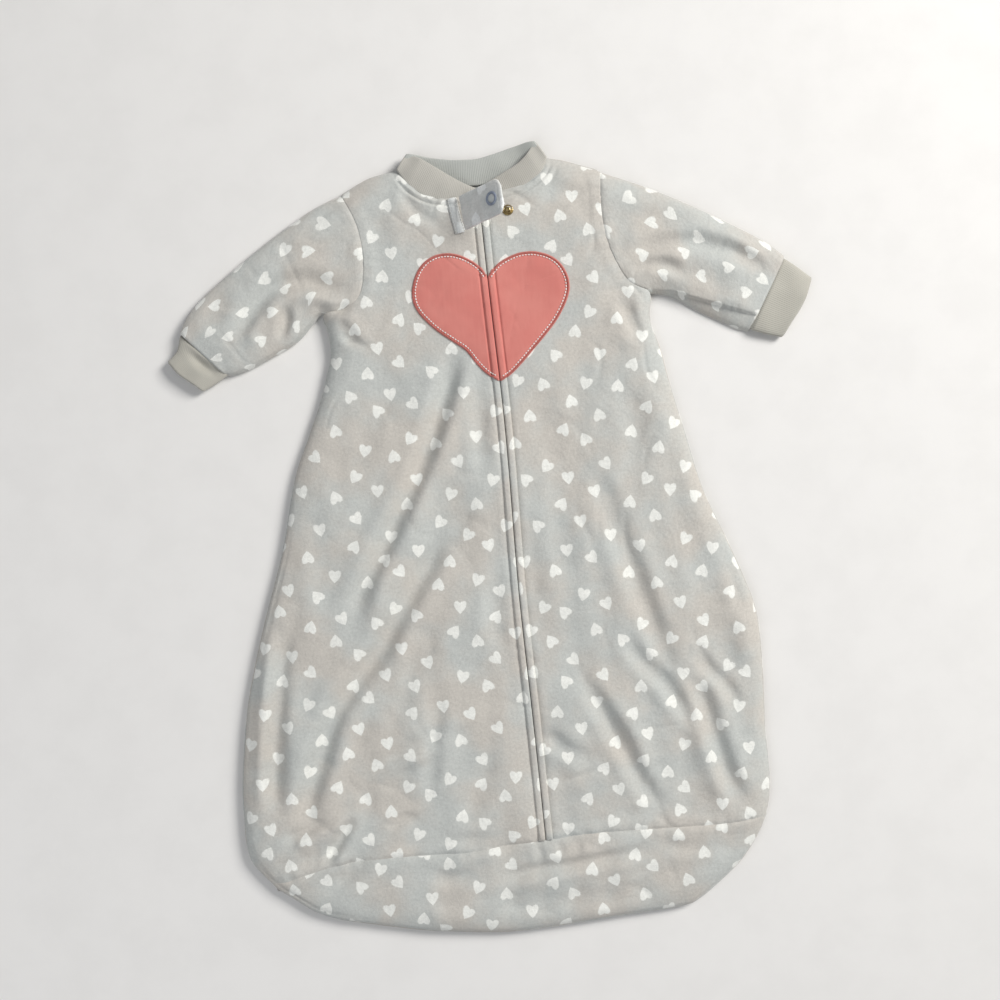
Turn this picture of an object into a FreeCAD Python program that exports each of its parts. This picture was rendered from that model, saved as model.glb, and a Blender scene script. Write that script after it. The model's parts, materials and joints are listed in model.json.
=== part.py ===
"""Baby sleeping bag with long sleeves, a front zip, a snap tab and a sewn-on heart, lying on its back.

Millimetres. X across the bag, Y from the foot to the neck with the zip on X = 0, Z up from the
surface it lies on. Each sub-part is one STEP file in parts/. The cloth is a pair of sheets with an air
space between, closed round the rim and open at the neck and at both cuffs.
"""

import FreeCAD
import Part
import math
import os

V = FreeCAD.Vector
OUT = "parts"

# Cloth and clearances
FLEECE = 2.4  # thickness of the fleece
RIB = 3.2  # thickness of the rib knit, folded double
LOFT = 14.0  # height of the front's outer face above the surface
RIM = 20.0  # width of the slope round the closed edges
SEAM = 4.0  # width of the seam where front and back are sewn together
SLIT = 0.3  # gap between cloth pieces that fold apart
TOUCH = 0.05  # gap between sewn layers

# Body, measured from the foot seam on the zip line
ZIP_OPENING = 565.0  # foot seam to neck seam, along the zip
FOOT_SEAM_Y = -264.0
FOOT_DEPTH = 66.0  # foot seam to the ends of the bottom edge
FOOT_BOW = 14.0  # how far the bottom edge and its corners bow out
NECK_HALF = 64.0  # half the neck seam's width
NECK_DROP = 29.0  # front neck seam below the neck's shoulder points
BACK_NECK_DROP = 18.0
SHOULDER = 52.0  # neck point to shoulder tip, across
SHOULDER_FALL = 15.0
COLLAR_HALF = 57.0  # half width of the collar's top edge
COLLAR_RISE = 13.0  # collar's top corners above the neck's shoulder points
COLLAR_FRONT = 6.0  # collar's width at the zip
COLLAR_BACK = 21.0  # collar's width at the centre back
COLLAR_SAG = 3.0  # how far each half of the front edge bows down

# One entry a side. The bag lies with more of its cloth on its left.
LEFT = dict(
    name="left",
    out=-1,
    tip_in=3.0,  # shoulder tip moved outwards (+) from the mean
    chest=143.0,
    underarm=102.0,  # underarm below the shoulder tip
    hem=257.0,
    hem_rise=14.0,  # end of the side seam above the foot seam
    corner=92.0,  # width of the rounded bottom corner
    flare=((0.07, 0.0), (0.30, 0.37), (0.55, 0.70), (0.80, 0.95), (1.0, 1.0)),
    armhole_bow=27.0,
    sleeve=147.0,  # underarm and shoulder mid point to the cuff seam's middle
    sleeve_fall=31.0,  # degrees below level
    sleeve_bow=(11.0, 9.0),  # how far the top and bottom edges bow out
    cuff_seam=57.0,
    cuff_turn=14.0,  # degrees that the cuff seam turns further down
    cuff_end=43.0,
    fold_off=14.0,  # sleeve fold outside the armhole's ends
)
RIGHT = dict(
    name="right",
    out=1,
    tip_in=-9.0,
    chest=139.0,
    underarm=113.0,
    hem=203.0,
    hem_rise=28.0,
    corner=76.0,
    flare=((0.08, 0.0), (0.36, 0.45), (0.53, 0.84), (0.64, 0.99), (0.74, 0.97), (1.0, 0.94)),
    armhole_bow=18.0,
    sleeve=135.0,
    sleeve_fall=30.0,
    sleeve_bow=(7.0, 0.5),
    cuff_seam=66.0,
    cuff_turn=1.5,
    cuff_end=58.0,
    fold_off=14.0,
)
CUFF_LENGTH = 27.0
CUFF_HEIGHT = 12.4

# Heart
HEART_HALF = 67.0
HEART_TOP = 50.5  # below the neck seam
HEART_NOTCH = 73.0
HEART_TIP = 164.0
HEART_LIFT = 0.1  # above the lips, or above the front where that is higher
HEART_THICK = 0.7

# Zip
LIP_GAP = 0.9  # half the gap between the lips
LIP_EDGE = 6.3  # lip's outer edge from the zip line
LIP_THICK = 0.9
COIL_HALF = 2.4
COIL_GAP = 0.1
COIL_THICK = 1.6
TAPE_IN = 2.5
TAPE_OUT = 13.0
TAPE_THICK = 0.5
STOP_LENGTH = 2.5
SLIDER_LENGTH = 9.6
SLIDER_HALF = 4.1
SLIDER_PLATE = 0.7
SLIDER_WALL = 0.8
SLIDER_CLEAR = 0.2
NECK_GAP = 3.2  # slider's top end below the neck seam
PIN_R = 0.5
PIN_CLEAR = 0.1
EYE_R = 1.1
LUG_HALF = 0.7
PULL_HALF = 2.3
PULL_LENGTH = 13.0
PULL_THICK = 1.0
PULL_HOLE_R = 1.2

# Snap tab, laid out as it lies when snapped, then lifted to the rest angle
TAB_LENGTH = 51.0  # hinge to the tab's round end
TAB_WIDTH = 29.0
TAB_THICK = 2.6
TAB_START = 4.5  # hinge line to the tab's cloth
TAB_BASE = 7.5  # width of the sewn-down base
BASE_THICK = 1.5
TAB_HINGE_X = -18.0
TAB_HINGE_DOWN = 17.5  # hinge below the neck seam
TAB_AXIS = V(0.104, 0.981, -0.128)
TAB_LIFT = 43.7  # degrees from snapped to rest
SNAP_REACH = 41.8  # hinge to snap
SNAP_R = 4.7
STUD_FLANGE = 0.9
STUD_R = 1.8
STUD_HEIGHT = 2.6
SOCKET_R = 4.9
SOCKET_BORE = 2.6
CAP_HOLE = 2.9
CAP_THICK = 0.85

# Places that follow from the sizes above
NECK_Y = FOOT_SEAM_Y + ZIP_OPENING
NECK_POINT_Y = NECK_Y + NECK_DROP
TIP_Y = NECK_POINT_Y - SHOULDER_FALL
UNDERSIDE = LOFT - FLEECE
FOLD_TOP = LOFT + SLIT / 2  # height of every cloth fold's axis
TAPE_TOP = UNDERSIDE - TOUCH
COIL_MID = TAPE_TOP - TAPE_THICK / 2
PLATE_LOW = COIL_MID + COIL_THICK / 2 + SLIDER_CLEAR
LIP_LOW = PLATE_LOW + SLIDER_PLATE + SLIDER_CLEAR
LIP_TOP = LIP_LOW + LIP_THICK
SLIDER_Y = NECK_Y - NECK_GAP - SLIDER_LENGTH / 2
SLIDER_LOW_Y = FOOT_SEAM_Y + 3.0 + STOP_LENGTH + SLIDER_CLEAR + SLIDER_LENGTH / 2
PIN_Z = LIP_TOP + EYE_R + SLIDER_CLEAR
TAB_LOW = PIN_Z + EYE_R + 0.3
TAB_HINGE = V(TAB_HINGE_X, NECK_Y - TAB_HINGE_DOWN, TAB_LOW + TAB_THICK / 2)
FOLD_FOOT = 4.0  # front fold's distance from the zip line at the foot seam


# Points and outlines


def bow(a, b, rise, n=6):
    """Points from a to b, a left out, that bulge to the right of the way by rise at the middle."""
    along = b - a
    side = V(along.y, -along.x, 0).normalize()
    return [a + along * (i / n) + side * (rise * math.sin(math.pi * i / n)) for i in range(1, n + 1)]


def through(points, n):
    """n points on one smooth curve through the given points."""
    curve = Part.BSplineCurve()
    curve.interpolate(points)
    return curve.discretize(Number=n)


def tip(s):
    """Shoulder tip."""
    return V(s["out"] * (NECK_HALF + SHOULDER + s["tip_in"]), TIP_Y, 0)


def underarm(s):
    return V(s["out"] * (s["chest"] + 4), TIP_Y - s["underarm"], 0)


def neck_point(s):
    return V(s["out"] * NECK_HALF, NECK_POINT_Y, 0)


def side_end(s):
    """Lower end of the side seam, where the bottom corner starts."""
    top, share = underarm(s), s["flare"][-1][1]
    return V(s["out"] * (s["chest"] + share * (s["hem"] - s["chest"])), FOOT_SEAM_Y + s["hem_rise"], 0)


def corner_end(s):
    return V(side_end(s).x - s["out"] * s["corner"], FOOT_SEAM_Y - FOOT_DEPTH, 0)


def side_seam(s):
    """Side seam from underarm to hem: the chest's half width, flared by share of the way down."""
    a, drop = underarm(s), underarm(s).y - side_end(s).y
    keys = [a] + [
        V(s["out"] * (s["chest"] + share * (s["hem"] - s["chest"])), a.y - way * drop, 0)
        for way, share in s["flare"]
    ]
    return through(keys, 14)


def sleeve_way(s, turn=0.0):
    fall = math.radians(s["sleeve_fall"] + turn)
    return V(s["out"] * math.cos(fall), -math.sin(fall), 0)


def cuff_middle(s):
    return (tip(s) + underarm(s)) * 0.5 + sleeve_way(s) * s["sleeve"]


def cuff_corners(s, along=0.0, width=None):
    """Top and bottom corner of the cuff's line that far past the cuff seam."""
    way = sleeve_way(s, s["cuff_turn"])
    up = V(-way.y, way.x, 0) * s["out"]
    half = (width or s["cuff_seam"]) / 2
    middle = cuff_middle(s) + way * along
    return middle + up * half, middle - up * half


def sleeve_edges(s):
    """Top edge from shoulder tip to cuff, bottom edge from cuff to underarm, both a rim past the cuff."""
    past = RIM + 6
    top, bottom = cuff_corners(s)
    far_top, far_bottom = cuff_corners(s, past)
    upper = bow(tip(s), top, -s["out"] * s["sleeve_bow"][0]) + [far_top]
    lower = [far_bottom, bottom] + bow(bottom, underarm(s), -s["out"] * s["sleeve_bow"][1])
    return upper, lower


def armhole(s):
    """Armhole seam from shoulder tip to underarm, bowed towards the zip."""
    return [tip(s)] + bow(tip(s), underarm(s), s["out"] * s["armhole_bow"], 8)


def garment():
    """The whole flat shape, anticlockwise, with sleeves and neck run on past their open ends."""
    points = bow(corner_end(LEFT), corner_end(RIGHT), FOOT_BOW, 8)
    points += bow(corner_end(RIGHT), side_end(RIGHT), FOOT_BOW, 5)
    points += list(reversed(side_seam(RIGHT)))[1:]
    upper, lower = sleeve_edges(RIGHT)
    points += list(reversed(lower))[1:] + list(reversed(upper)) + [tip(RIGHT), neck_point(RIGHT)]
    points += [neck_point(RIGHT) + V(0, 2 * RIM, 0), neck_point(LEFT) + V(0, 2 * RIM, 0)]
    upper, lower = sleeve_edges(LEFT)
    points += [neck_point(LEFT), tip(LEFT)] + upper + lower
    points += side_seam(LEFT)[1:]
    points += bow(side_end(LEFT), corner_end(LEFT), FOOT_BOW, 5)
    return points


def inset(points, width):
    """The same corners moved inwards, so that every side lies that far from where it was."""
    moved = []
    for i, p in enumerate(points):
        before = (p - points[i - 1]).normalize()
        after = (points[(i + 1) % len(points)] - p).normalize()
        n0, n1 = V(-before.y, before.x, 0), V(-after.y, after.x, 0)
        moved.append(p + (n0 + n1) * (width / (1 + n0.dot(n1))))
    return moved


# Solids


def loop(points):
    return Part.makePolygon(list(points) + [points[0]])


def prism(points, low, high):
    """Upright solid over an outline of points or over one wire."""
    wire = points if isinstance(points, Part.Wire) else loop([V(p.x, p.y, 0) for p in points])
    return Part.Face(wire).translated(V(0, 0, low)).extrude(V(0, 0, high - low))


def hill(base, low, top, high):
    """Solid with flat sloping sides from one outline up to the same outline moved in."""
    a, b = [V(p.x, p.y, low) for p in base], [V(p.x, p.y, high) for p in top]
    n = len(a)
    faces = [Part.Face(loop(a)), Part.Face(loop(b))]
    faces += [Part.Face(loop([a[i], a[(i + 1) % n], b[(i + 1) % n], b[i]])) for i in range(n)]
    solid = Part.Solid(Part.makeShell(faces))
    if solid.Volume < 0:
        solid.reverse()
    return solid


def box(x0, x1, y0, y1, z0, z1):
    return Part.makeBox(x1 - x0, y1 - y0, z1 - z0, V(x0, y0, z0))


def front_sheet():
    """The upper sheet of the whole garment: a slope round the rim and a level top, open underneath."""
    flat = garment()
    top = inset(flat, RIM)
    outside = prism(flat, FLEECE, 2 * FLEECE).fuse(hill(flat, 2 * FLEECE, top, LOFT))
    inside = hill(inset(flat, SEAM), FLEECE, inset(flat, RIM + SEAM / 2), UNDERSIDE)
    return outside.cut(inside)


def region(points):
    """Tall cutter over an outline."""
    return prism(points, -5, LOFT + 20)


FAR = 600.0


def fold_at(s, y):
    """Where the fold line crosses that height: it runs from the zip's foot to the neck point."""
    share = (y - FOOT_SEAM_Y) / (NECK_POINT_Y - FOOT_SEAM_Y)
    return s["out"] * (FOLD_FOOT + share * (NECK_HALF - 2 - FOLD_FOOT))


def fold_side(s, inner):
    """Cutter for the cloth between the fold line and the zip, or for the cloth outside it."""
    low, high, gap = FOOT_SEAM_Y, NECK_POINT_Y + FAR / 4, -SLIT / 2 if inner else SLIT / 2
    a, b = V(fold_at(s, low) + s["out"] * gap, low, 0), V(fold_at(s, high) + s["out"] * gap, high, 0)
    edge = 0.0 if inner else s["out"] * FAR
    return region([a, b, V(edge, high, 0), V(edge, low, 0)])


def sleeve_fold(s):
    """Two points on the fold line just outside the armhole's ends."""
    a, b = tip(s), underarm(s)
    way = (b - a).normalize()
    away = V(-way.y, way.x, 0) * s["out"] * s["fold_off"]
    return a + away - way * RIM, b + away + way * RIM


def beyond_fold(s, gap):
    """Cutter for everything outside the sleeve's fold line."""
    a, b = sleeve_fold(s)
    way = (b - a).normalize()
    away = V(-way.y, way.x, 0) * s["out"]
    a, b = a + away * gap - way * FAR / 4, b + away * gap + way * FAR / 4
    return region([a, b, b + away * FAR / 2, a + away * FAR / 2])


def sleeve_zone(s):
    """Cutter for everything outside the armhole seam, from the underarm up to the shoulder tip."""
    seam = armhole(s)
    high = V(0, FAR / 6, 0)
    below = seam[-1] + sleeve_way(s, 20.0) * FAR / 2
    beside = seam[0] + V(s["out"] * FAR / 2, 0, 0) + high
    return region(seam + [below, beside, seam[0] + high])


def arc_points(half, y_end, drop, n=16):
    """Points of a half ellipse, from its left end through its lowest point to its right end."""
    angles = [math.pi * i / n for i in range(n + 1)]
    return [V(-half * math.cos(a), y_end - drop * math.sin(a), 0) for a in angles]


def front_neck():
    return arc_points(NECK_HALF, NECK_POINT_Y, NECK_DROP)


def back_neck():
    return arc_points(NECK_HALF, NECK_POINT_Y, BACK_NECK_DROP)


def above(curve):
    """Cutter for everything above a neck curve."""
    high = NECK_POINT_Y + FAR / 4
    return region(curve + [V(curve[-1].x, high, 0), V(curve[0].x, high, 0)])


def band(low, high):
    """Cutter for everything between two heights across the bag."""
    return region([V(-FAR, low, 0), V(FAR, low, 0), V(FAR, high, 0), V(-FAR, high, 0)])


# Cloth pieces


def cloth_pieces():
    """Front, back and foot panels, sleeves and cuffs."""
    sheet = front_sheet()
    flat = garment()
    back = prism(flat, 0, FLEECE)
    foot = band(-FAR, FOOT_SEAM_Y)
    parts = {"foot_panel": sheet.common(foot)}
    strip = box(-LIP_EDGE, LIP_EDGE, -FAR, FAR, 0, 2 * LOFT)
    body = sheet.cut(foot).cut(above(front_neck())).cut(strip)
    back = back.cut(above(back_neck()))
    for s in (LEFT, RIGHT):
        name, zone = s["name"], sleeve_zone(s)
        outer, inner = beyond_fold(s, SLIT / 2), beyond_fold(s, -SLIT / 2)
        past = cuff_cutter(s)
        tube = sheet.fuse(prism(flat, 0, FLEECE)).common(zone).cut(past)
        parts[f"sleeve_head_{name}"] = tube.cut(inner)
        parts[f"sleeve_{name}"] = tube.common(outer)
        parts[f"cuff_{name}"] = cuff(s)
        body, back = body.cut(zone), back.cut(zone)
        parts[f"front_{name}"] = body.common(fold_side(s, inner=False))
        parts[f"lapel_{name}"] = body.common(fold_side(s, inner=True))
    parts["back_panel"] = back
    return parts


def cuff_cutter(s):
    """Everything past the cuff seam."""
    a, b = cuff_corners(s, 0.0, 3 * s["cuff_seam"])
    c, d = cuff_corners(s, 4 * RIM, 3 * s["cuff_seam"])
    return region([a, b, d, c])


def cuff(s):
    """Flattened rib tube, open at both ends."""
    a, b = cuff_corners(s, 0.0)
    c, d = cuff_corners(s, CUFF_LENGTH, s["cuff_end"])
    tube = prism([a, b, d, c], 0, CUFF_HEIGHT)
    a, b = cuff_corners(s, -RIB, s["cuff_seam"] - 2 * RIB)
    c, d = cuff_corners(s, CUFF_LENGTH + RIB, s["cuff_end"] - 2 * RIB)
    return tube.cut(prism([a, b, d, c], RIB, CUFF_HEIGHT - RIB))


def collar_pieces():
    """Rib collar: a back band with its sides turned up, and a front crescent each side of the zip."""
    top = NECK_POINT_Y + COLLAR_RISE
    back_edge = arc_points(COLLAR_HALF, top, top - (NECK_POINT_Y - BACK_NECK_DROP + COLLAR_BACK))
    seam = back_neck()
    back = prism(seam + list(reversed(back_edge)), 0, RIB)
    left, low, right = V(-COLLAR_HALF, top, 0), V(0, NECK_Y + COLLAR_FRONT, 0), V(COLLAR_HALF, top, 0)
    front_edge = [left] + bow(left, low, COLLAR_SAG) + bow(low, right, COLLAR_SAG)
    front = prism(front_neck() + list(reversed(front_edge)), LOFT - RIB, LOFT)
    parts = {}
    for s in (LEFT, RIGHT):
        mid = box(*sorted((0, s["out"] * FAR)), -FAR, FAR, -5, FAR).cut(
            box(-COIL_HALF / 2, COIL_HALF / 2, -FAR, FAR, -5, FAR)
        )
        parts[f"collar_front_{s['name']}"] = front.common(mid).common(fold_side(s, inner=True))
        corner, seam_end = V(s["out"] * COLLAR_HALF, top, 0), neck_point(s)
        inward = V(-s["out"] * RIB, 0, 0)
        wall = prism([seam_end, corner, corner + inward, seam_end + inward], 0, LOFT - RIB - SLIT)
        back = back.fuse(wall)
    parts["collar_back"] = back.removeSplitter()
    return parts


# Heart


def heart_half(s, low, high):
    """Half of the heart, from notch over the lobe to the tip: three Bezier curves closed at the zip."""
    out, w = s["out"], HEART_HALF
    top, notch, tip_y = NECK_Y - HEART_TOP, NECK_Y - HEART_NOTCH, NECK_Y - HEART_TIP
    points = [
        [(0, notch), (0.16 * w, top - 8), (0.32 * w, top), (0.55 * w, top)],
        [(0.55 * w, top), (0.83 * w, top), (w, top - 14), (w, notch - 6)],
        [(w, notch - 6), (w, notch - 34), (0.42 * w, tip_y + 24), (0, tip_y)],
    ]
    edges = []
    for poles in points:
        curve = Part.BezierCurve()
        curve.setPoles([V(out * x, y, 0) for x, y in poles])
        edges.append(curve.toShape())
    edges.append(Part.LineSegment(V(0, tip_y, 0), V(0, notch, 0)).toShape())
    return prism(Part.Wire(edges), low, high)


def heart_pieces():
    parts = {}
    for s in (LEFT, RIGHT):
        out, name = s["out"], s["name"]
        low = max(LOFT, LIP_TOP) + HEART_LIFT
        patch = heart_half(s, low, low + HEART_THICK)
        slit = box(*sorted((0, out * LIP_GAP)), -FAR, FAR, 0, 2 * LOFT)
        parts[f"heart_{name}"] = patch.cut(slit)
    return parts


# Zip


def zip_pieces():
    """Lips, tapes, coils and stops. Outside a fold line they stay with the body, as the zip's foot."""
    parts, lip_ends, tape_ends = {}, [], []
    low, high = FOOT_SEAM_Y + 0.5, NECK_Y - 0.5
    split = SLIDER_LOW_Y  # the chain below this stays closed
    for s in (LEFT, RIGHT):
        out, name = s["out"], s["name"]
        inner, outer = fold_side(s, inner=True), fold_side(s, inner=False)
        lip = box(*sorted((out * LIP_GAP, out * LIP_EDGE)), low, high, LIP_LOW, LIP_TOP)
        tape = box(*sorted((out * TAPE_IN, out * TAPE_OUT)), low, high, TAPE_TOP - TAPE_THICK, TAPE_TOP)
        neck = prism(front_neck(), 0, 2 * LOFT).fuse(band(-FAR, NECK_Y))
        parts[f"zip_lip_{name}"] = lip.common(inner)
        lip_ends.append(lip.common(outer))
        parts[f"zip_tape_{name}"] = tape.common(neck).common(inner).common(band(split, FAR))
        tape_ends.append(tape.common(outer.fuse(band(-FAR, split - SLIT))))
        parts[f"zip_coil_{name}"] = coil(s, split + SLIT, SLIDER_Y - SLIDER_CLEAR)
        stop_y = SLIDER_Y + SLIDER_LENGTH / 2 + SLIDER_CLEAR
        parts[f"top_stop_{name}"] = box(
            *sorted((out * 1.4, out * TAPE_IN)), stop_y, stop_y + STOP_LENGTH,
            COIL_MID - COIL_THICK / 2, COIL_MID + COIL_THICK / 2
        )
    parts["zip_lip_foot"] = Part.makeCompound([s for shape in lip_ends for s in shape.Solids])
    parts["zip_tape_foot"] = Part.makeCompound([s for shape in tape_ends for s in shape.Solids])
    z0, z1 = COIL_MID - COIL_THICK / 2, COIL_MID + COIL_THICK / 2
    chain_low = FOOT_SEAM_Y + 3.0 + STOP_LENGTH
    chain = box(-COIL_HALF, COIL_HALF, chain_low, split - SLIT, z0, z1)
    parts["zip_chain_foot"] = chain.cut(box(-COIL_GAP, COIL_GAP, -FAR, FAR, 0, 2 * LOFT))
    parts["bottom_stop"] = box(-COIL_HALF, COIL_HALF, chain_low - STOP_LENGTH, chain_low, z0, z1)
    return parts


def coil(s, low, high):
    """One side's coil: straight where the zip is closed, then led out through the slider's mouth."""
    out = s["out"]
    z0, z1 = COIL_MID - COIL_THICK / 2, COIL_MID + COIL_THICK / 2
    fold_clear = [V(fold_at(s, y) - out * SLIT / 2, y, 0) for y in (low, low + 60)]
    bar = box(*sorted((out * COIL_GAP, out * COIL_HALF)), low, high, z0, z1)
    outside = [V(out * 20, low + 61, 0), V(out * 20, high + 20, 0)]
    keep = region(fold_clear[:2] + outside + [V(0, high + 20, 0), V(0, low, 0)])
    end = high + SLIDER_LENGTH / 2
    a, b = out * COIL_GAP, out * COIL_HALF
    lead = prism([V(a, high, 0), V(b, high, 0), V(b, end, 0), V(a + out * 1.2, end, 0)], z0, z1)
    return bar.common(keep).fuse(lead).removeSplitter()


def slider():
    """Two plates joined by a wedge, with side walls, two tape slots, and a lug with the pull's pin."""
    y0, y1 = SLIDER_Y - SLIDER_LENGTH / 2, SLIDER_Y + SLIDER_LENGTH / 2
    low_half = COIL_HALF + SLIDER_CLEAR + SLIDER_WALL
    mouth = [V(SLIDER_HALF, y1 - 1, 0), V(SLIDER_HALF - 1, y1, 0)]
    right = [V(low_half, y0, 0), V(SLIDER_HALF, SLIDER_Y, 0)] + mouth
    plan = [V(-low_half, y0, 0)] + right + [V(-p.x, p.y, 0) for p in reversed(right[1:])]
    floor_top = COIL_MID - COIL_THICK / 2 - SLIDER_CLEAR
    body = prism(plan, PLATE_LOW, PLATE_LOW + SLIDER_PLATE)
    body = body.fuse(prism(plan, floor_top - SLIDER_PLATE, floor_top))
    slot = TAPE_THICK / 2 + SLIDER_CLEAR
    space = [p - V(math.copysign(SLIDER_WALL, p.x), 0, 0) for p in slot_plan(plan)]
    ring = prism(plan, floor_top, PLATE_LOW).cut(prism(space, 0, 2 * LOFT))
    ring = ring.cut(box(-FAR, FAR, y0 - 1, y1 + 1, COIL_MID - slot, COIL_MID + slot))
    wedge_plan = [V(0, SLIDER_Y + 0.4, 0), V(0.9, y1 - 0.6, 0), V(-0.9, y1 - 0.6, 0)]
    wedge = prism(wedge_plan, floor_top, PLATE_LOW)
    lug_low = PLATE_LOW + SLIDER_PLATE
    lug = box(-LUG_HALF, LUG_HALF, SLIDER_Y - 3.0, SLIDER_Y + 1.4, lug_low, PIN_Z + PIN_R)
    pin = Part.makeCylinder(PIN_R, 2 * PULL_HALF, V(-PULL_HALF, SLIDER_Y - 0.8, PIN_Z), V(1, 0, 0))
    return body.fuse([ring, wedge, lug, pin]).removeSplitter()


def slot_plan(plan):
    """The slider's plan run on past both ends, so that the walls stay open there."""
    low, high = min(p.y for p in plan), max(p.y for p in plan)
    return [p + V(0, -2 if p.y == low else 2 if p.y == high else 0, 0) for p in plan]


def pull():
    """Flat pull with two eyes round the slider's pin, lying towards the foot."""
    y, side = SLIDER_Y - 0.8, LUG_HALF + PIN_CLEAR
    eye = Part.makeCylinder(EYE_R, 2 * PULL_HALF, V(-PULL_HALF, y, PIN_Z), V(1, 0, 0))
    plate_low = PIN_Z - PULL_THICK / 2
    y_end = y - PULL_LENGTH + PULL_HALF
    plate = box(-PULL_HALF, PULL_HALF, y_end, y, plate_low, plate_low + PULL_THICK)
    end = Part.makeCylinder(PULL_HALF, PULL_THICK, V(0, y - PULL_LENGTH + PULL_HALF, plate_low))
    body = eye.fuse([plate, end])
    room = box(-side, side, y - 3.4, y + 3, 0, 3 * LOFT)
    bore = Part.makeCylinder(PIN_R + PIN_CLEAR, 4 * PULL_HALF, V(-2 * PULL_HALF, y, PIN_Z), V(1, 0, 0))
    hole = Part.makeCylinder(PULL_HOLE_R, 5, V(0, y - PULL_LENGTH + PULL_HALF, PIN_Z - 2))
    return body.cut(room).cut(bore).cut(hole).removeSplitter()


# Snap tab


def lifted(shape):
    """Turns a piece of the tab from where it lies when snapped to where it lies at rest."""
    turned = shape.copy()
    turned.rotate(TAB_HINGE, TAB_AXIS, -TAB_LIFT)
    return turned


def snap_pieces():
    x, y = TAB_HINGE.x, TAB_HINGE.y
    half, round_r = TAB_WIDTH / 2, 7.0
    tab = box(x + TAB_START, x + TAB_LENGTH, y - half, y + half, TAB_LOW, TAB_LOW + TAB_THICK)
    ends = [
        e for e in tab.Edges
        if abs(e.CenterOfMass.x - x - TAB_LENGTH) < 0.01 and abs(e.Length - TAB_THICK) < 0.01
    ]
    tab = tab.makeFillet(round_r, ends)
    at = V(x + SNAP_REACH, y + 0.2, 0)
    socket_low = LOFT + STUD_FLANGE + 0.2
    socket = Part.makeCylinder(SOCKET_R, TAB_LOW - socket_low, at + V(0, 0, socket_low))
    socket = socket.cut(Part.makeCylinder(SOCKET_BORE, 20, at + V(0, 0, socket_low - 1)))
    cap = Part.makeCylinder(SNAP_R, CAP_THICK, at + V(0, 0, TAB_LOW + TAB_THICK))
    cap = cap.cut(Part.makeCylinder(CAP_HOLE, 10, at + V(0, 0, TAB_LOW)))
    stud = Part.makeCylinder(SNAP_R, STUD_FLANGE, at + V(0, 0, LOFT)).cut(
        Part.makeCylinder(SNAP_R - 1.5, STUD_FLANGE, at + V(0, 0, LOFT + STUD_FLANGE / 2))
    )
    stud = stud.fuse(Part.makeCylinder(STUD_R, STUD_HEIGHT, at + V(0, 0, LOFT))).removeSplitter()
    ring = Part.makeCylinder(SNAP_R, STUD_FLANGE, at + V(0, 0, UNDERSIDE - STUD_FLANGE))
    ring = ring.cut(Part.makeCylinder(CAP_HOLE, STUD_FLANGE, at + V(0, 0, UNDERSIDE - STUD_FLANGE)))
    base_low = LOFT + TOUCH
    base = prism(
        [
            V(x - 2 - TAB_BASE, y + half - 0.5, 0), V(x + 2 - TAB_BASE, y - half - 0.5, 0),
            V(x + 2, y - half, 0), V(x - 2, y + half - 0.5, 0),
        ],
        base_low,
        base_low + BASE_THICK,
    )
    return {
        "tab_base": base,
        "snap_tab": lifted(tab),
        "snap_socket": lifted(socket),
        "snap_cap": lifted(cap),
        "snap_stud": stud,
        "snap_ring": ring,
    }


def main():
    os.makedirs(OUT, exist_ok=True)
    parts = cloth_pieces()
    parts.update(collar_pieces())
    parts.update(heart_pieces())
    parts.update(zip_pieces())
    parts["zip_slider"] = slider()
    parts["zip_pull"] = pull()
    parts.update(snap_pieces())
    for name, shape in sorted(parts.items()):
        shape.exportStep(os.path.join(OUT, name + ".step"))
        counts = f"solids {len(shape.Solids)} volume {shape.Volume:10.1f} valid {shape.isValid()}"
        print(f"{name:22s} {counts}")


if __name__ == "__main__":
    main()
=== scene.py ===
# %% Set-up
import json
import math

import bpy
import numpy as np
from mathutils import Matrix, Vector


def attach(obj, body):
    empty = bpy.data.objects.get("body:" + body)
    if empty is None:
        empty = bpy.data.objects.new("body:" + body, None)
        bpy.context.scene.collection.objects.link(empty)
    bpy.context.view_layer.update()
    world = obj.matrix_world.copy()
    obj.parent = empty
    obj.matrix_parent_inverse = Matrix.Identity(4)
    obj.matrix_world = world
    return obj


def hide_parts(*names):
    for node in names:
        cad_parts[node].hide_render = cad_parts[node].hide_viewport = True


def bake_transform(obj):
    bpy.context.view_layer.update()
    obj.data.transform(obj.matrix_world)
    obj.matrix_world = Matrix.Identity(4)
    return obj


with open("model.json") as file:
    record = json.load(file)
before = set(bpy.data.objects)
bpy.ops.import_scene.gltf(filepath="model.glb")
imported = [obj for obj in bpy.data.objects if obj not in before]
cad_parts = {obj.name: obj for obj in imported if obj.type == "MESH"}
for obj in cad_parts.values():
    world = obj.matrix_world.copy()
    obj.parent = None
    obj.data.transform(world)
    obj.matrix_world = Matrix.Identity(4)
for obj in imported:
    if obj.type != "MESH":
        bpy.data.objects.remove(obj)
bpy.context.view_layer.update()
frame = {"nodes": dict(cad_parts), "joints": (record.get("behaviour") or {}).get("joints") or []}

# %% [markdown]
# A baby sleeping bag in printed microfleece, lying on its back.
# Lengths below are in millimetres in the bag's own frame: X across, Y from foot to neck with the zip on
# X = 0, Z up. `build` turns them into metres as it makes each mesh. The sizes that several pieces share
# come first, so that the pieces still fit each other when one is changed.

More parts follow.
